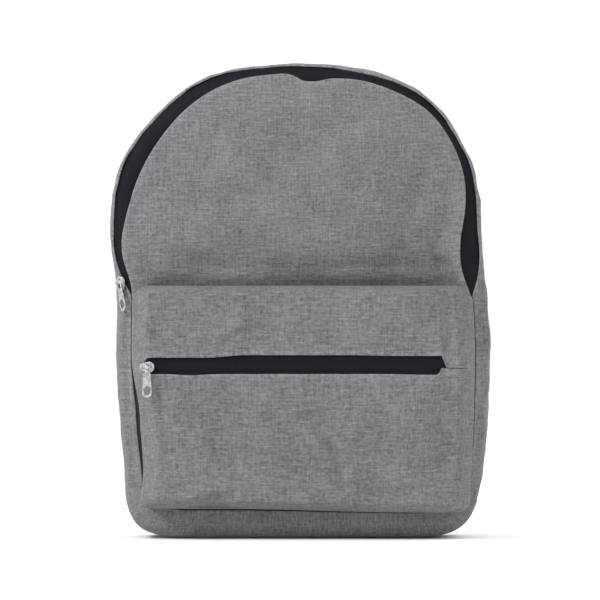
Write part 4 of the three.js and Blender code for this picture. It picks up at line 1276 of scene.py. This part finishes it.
def ladder_lock(flip, hand):
    name = f"ladder_lock_{hand}"
    top, low = -LOCK_BAR / 2, LOCK_TALL - LOCK_BAR / 2
    right, lower = LOCK_WIDE / 2 - 2.2, LOCK_WIDE / 2 - 4
    outline = arc(right, top + 2.2, 2.2, 270, 360, 6) + arc(lower, low - 2.4, 2.4, 0, 90, 6) \
        + arc(-lower, low - 2.4, 2.4, 90, 180, 6) + arc(-right, top + 2.2, 2.2, 180, 270, 6)
    slot = section_ring(WEB_WIDE + 3.2, LOCK_SLOT, 1.1, 4)
    holes = [slot + (0, (row + 0.5) * LOCK_MIDDLE) for row in (0, 1)]
    parts = [plate(outline, holes, -LOCK_THICK / 2, LOCK_THICK / 2, 0.75)]
    for y, height in ((low - LOCK_BAR / 2, 0.9), (low - LOCK_BAR / 2 + 1.1, 0.6)):
        rib = [(x, y, LOCK_THICK / 2 + 0.1) for x in np.linspace(-8.5, 8.5, 12)]
        parts.append(sweep(rib, (0, 1, 0), section_ring(0.8, height, 0.3)))
    for x in np.linspace(0.5 - WEB_WIDE / 2, WEB_WIDE / 2 - 0.5, 12):
        tooth = [(x, LOCK_MIDDLE + y, -LOCK_THICK / 2 - 0.05) for y in np.linspace(-1.1, 1.1, 4)]
        parts.append(sweep(tooth, (1, 0, 0), section_ring(0.7, 0.5, 0.2, 2)))
    across = LOCK_X * flip[[1, 0, 0]]
    shape = in_place(merged(parts), basis(across, LOCK_DOWN * flip, LOCK_REAR, LOCK_AT * flip))
    solid(f"ladder_buckle_{hand}", shape, ACETAL, name, [name])


def adjuster(flip, hand):
    """Lower webbing: from the anchor tab, round the lock's middle bar and down as a tail."""
    body = f"strap_{hand}"

    def at(t, n):
        return LOCK_AT * flip + LOCK_DOWN * flip * t + LOCK_REAR * n

    anchor = np.array([ANCHOR_X * flip[0], BACK + 4.5, ANCHOR_Z + 8])
    inner = at(LOCK_TALL - 2, -WRAP - 0.4)
    half_way = anchor * 0.5 + at(LOCK_TALL, -WRAP - 1) * 0.5
    turn = [at(LOCK_MIDDLE - z * WRAP, y * WRAP) for y, z in arc(0, 0, 1, 180, 0, 11)]
    hanging = [at(LOCK_TALL + t, WRAP + n) for t, n in ((-2, 0.2), (14, 1), (24, 1.8), (32, 2))]
    ribbon(f"adjuster_tail_{hand}", spline(turn[7:] + hanging, 50), (1, 0, 0), WEB_WIDE, 465, body)
    path = spline([anchor, anchor * 0.6 + half_way * 0.4, half_way, inner] + turn[:8], 90)
    webbing = ribbon(f"adjuster_web_{hand}", path, (1, 0, 0), WEB_WIDE, 460,
                     nodes=[f"adjuster_webbing_{hand}"])
    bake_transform(webbing)
    tip = [at(LOCK_TALL + 32 - d, WRAP + 3.25 - d * 0.02) for d in (-0.2, 2, 4, 6.5)]
    ribbon(f"adjuster_hem_{hand}", tip, (1, 0, 0), WEB_WIDE - 0.4, 470, body, thickness=1)
    across = LOCK_X * flip[[1, 0, 0]]
    tack = bar_tack(at(LOCK_TALL + 28, WRAP + 3.6), across, LOCK_DOWN * flip, LOCK_REAR, 3.2, 17, 5)
    sewing(f"adjuster_tack_{hand}", tack, body)


def anchor_tab(sign, hand):
    """A trapezoid of doubled cloth with a box of stitching."""
    middle = np.array([ANCHOR_X * sign, ANCHOR_Z])
    corners = np.array([(-15.5, -11.5), (15.5, -11.5), (10.8, 9.5), (-10.8, 9.5)]) + middle
    patch(f"anchor_patch_{hand}", polygon(corners, 0.03, 12), 2.3, 0.8, STRAPPING, 480,
          [f"anchor_tab_{hand}"])
    box = np.array([(-12.6, -9.2), (12.6, -9.2), (9, 7.2), (-9, 7.2), (-12.6, -9.2), (9, 7.2)]) + middle
    stitches(f"anchor_stitching_{hand}", np.insert(box, 1, BACK + 2.75, 1), (0, 1, 0), "bag")


def polygon(corners, clear, count):
    """Points along a polygon's sides, clear of its corners by a share of each side."""
    s = np.linspace(clear, 1 - clear, count)[:, None]
    return np.vstack([a + (b - a) * s for a, b in zip(corners, np.roll(corners, -1, 0))])


def patch(name, outline, thick, bevel, cloth, offset, nodes=(), raised=0.4):
    """Doubled cloth sewn flat on the back."""
    shape = standing(outline, BACK + raised, BACK + raised + thick, bevel)
    solid(name, shape, cloth, "bag", nodes, (shape[0][:, 0], shape[0][:, 2], offset))


# ---- haul loop and the straps' roots
def flat_tack(name, x, y, z, wide, long, rows):
    """A bar tack on the back, lying across."""
    sewing(name, bar_tack((x, y, z), (1, 0, 0), (0, 0, 1), (0, 1, 0), wide, long, rows), "bag")


def yoke():
    """The patch that takes the straps' roots and the haul loop's ends."""
    corners = np.array([(-77, 331), (77, 331), (63.5, 383), (-63.5, 383)], float)
    patch("yoke_patch", polygon(corners, 0.012, 30), 1.8, 0.6, STRAPPING, 500, ["strap_yoke"])
    inwards = np.array([(1.2, 1), (-1.2, 1), (-1.1, -1), (1.1, -1)])
    for inset, label in ((2.6, "outer"), (5.6, "inner")):
        box = (corners + inwards * inset)[[0, 1, 2, 3, 0]]
        stitches(f"yoke_{label}_stitching", np.insert(box, 1, BACK + 2.25, 1), (0, 1, 0), "bag")
    route = ((ROOT_X, 53.2, 362), (ROOT_X, 53.4, 354), (45.3, 55, 346), (46, 58.6, 338.5), (47.5, 64, 332))
    for sign, hand in SIDES:
        path = spline(np.array(route) * (sign, 1, 1), 26)
        root = ribbon(f"strap_root_{hand}", path, (1, 0, 0), np.linspace(46, 52, 26), 520,
                      cloth=STRAPPING, thickness=2, across=15, crown=0.3)
        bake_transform(root)
        flat_tack(f"strap_root_tack_{hand}", ROOT_X * sign, 54.3, 358, 4, 40, 6)


LOOP_BEND_Z, LOOP_DROP, LOOP_TAB_Z = 364, 18, 382.6


def haul_loop():
    bend = [(x, LOOP_Y, LOOP_BEND_Z + z)
            for x, z in np.array(arc(0, 0, 1, 180, 360, 40)) * (LOOP_X_END, LOOP_DROP)]
    path = evenly([(-LOOP_X_END, LOOP_Y, LOOP_Z_END)] + bend + [(LOOP_X_END, LOOP_Y, LOOP_Z_END)], 110)
    side = unit(np.cross(unit(np.gradient(path, axis=0)), (0, 1, 0)))
    ribbon("haul_loop_web", path, side, 18, 560, "haul_loop", ["haul_loop"], None, 2, 11, 0.25)
    for edge, label in ((-7.2, "inner"), (7.2, "outer")):
        for face, facing in ((-1, "front"), (1, "back")):
            row = path[3:-3] + side[3:-3] * edge + np.array([0, face * 1.3, 0])
            stitches(f"haul_loop_{label}_{facing}_stitching", row, (0, face, 0), "haul_loop")
    for sign, hand in SIDES:
        sleeve = [(sign * x, LOOP_Y - 0.2, LOOP_Z_END + 0.6) for x in np.linspace(22.4, 41.6, 20)]
        shape = sweep(sleeve, (0, 0, 1), circle(14, 2.3, 2.1))
        # The sleeve is painted a little lighter all over: a painted highlight.
        solid(f"haul_loop_root_{hand}", shape, WEBBING, "bag",
              weave=(shape[0][:, 2] * 1.5, shape[0][:, 0], 580), edge_highlight=0.2)
        ring = section_ring(19, 11, 1.2, 3) + (sign * LOOP_X_END, LOOP_TAB_Z)
        patch(f"haul_loop_tab_{hand}", ring, 1.3, 0.45, WEBBING, 590, raised=2)
        flat_tack(f"haul_loop_tack_{hand}", sign * LOOP_X_END, BACK + 3.45, LOOP_TAB_Z, 6, 14, 7)


back_parts()
back_pads()
strap_set()
yoke()
haul_loop()


# ---- floor, light and camera
AIM, EYE_AWAY, FIELD = (0, 0, 0.2), 5, 0.504      # the camera's aim, its distance and the width it sees, m
FLOOR_Z = -0.3


FLOOR_STEPS, FLOOR_RADII = 96, (40, 4, 2, 1, 0.5, 0.25)


def make_stage():
    rings = [np.c_[circle(FLOOR_STEPS, r / MM, r / MM), np.full(FLOOR_STEPS, FLOOR_Z)]
             for r in FLOOR_RADII]
    points, faces = bands(rings, caps=False)
    faces.append(list(range(len(points) - FLOOR_STEPS, len(points))))
    new_mesh("floor", points, faces, [FLOOR])
    world = SCENE.world = bpy.data.worlds.new("studio")
    world.use_nodes = True
    background = world.node_tree.nodes["Background"]
    background.inputs["Color"].default_value = (1, 1, 1, 1)
    background.inputs["Strength"].default_value = 1.1
    for name, at, size, energy in (("key", (-2.2, -1.9, 2.4), 1, 82), ("back", (1.6, 2.4, 1.8), 1.4, 40)):
        light = bpy.data.lights.new(name, "AREA")
        light.shape, light.size, light.energy = "DISK", size, energy
        lamp = add_object(name, light)
        lamp.location = at
        lamp.rotation_euler = (Vector(AIM) - Vector(at)).to_track_quat("-Z", "Y").to_euler()
    camera = bpy.data.cameras.new("camera")
    camera.sensor_width = 36
    camera.lens = camera.sensor_width * EYE_AWAY / FIELD
    camera.clip_start, camera.clip_end = 0.5, 50
    SCENE.camera = add_object("camera", camera)
    SCENE.camera.location = (0, -EYE_AWAY - 0.035, AIM[2])
    SCENE.camera.rotation_euler = (math.pi / 2, 0, 0)
    SCENE.view_settings.view_transform = "Standard"


make_stage()
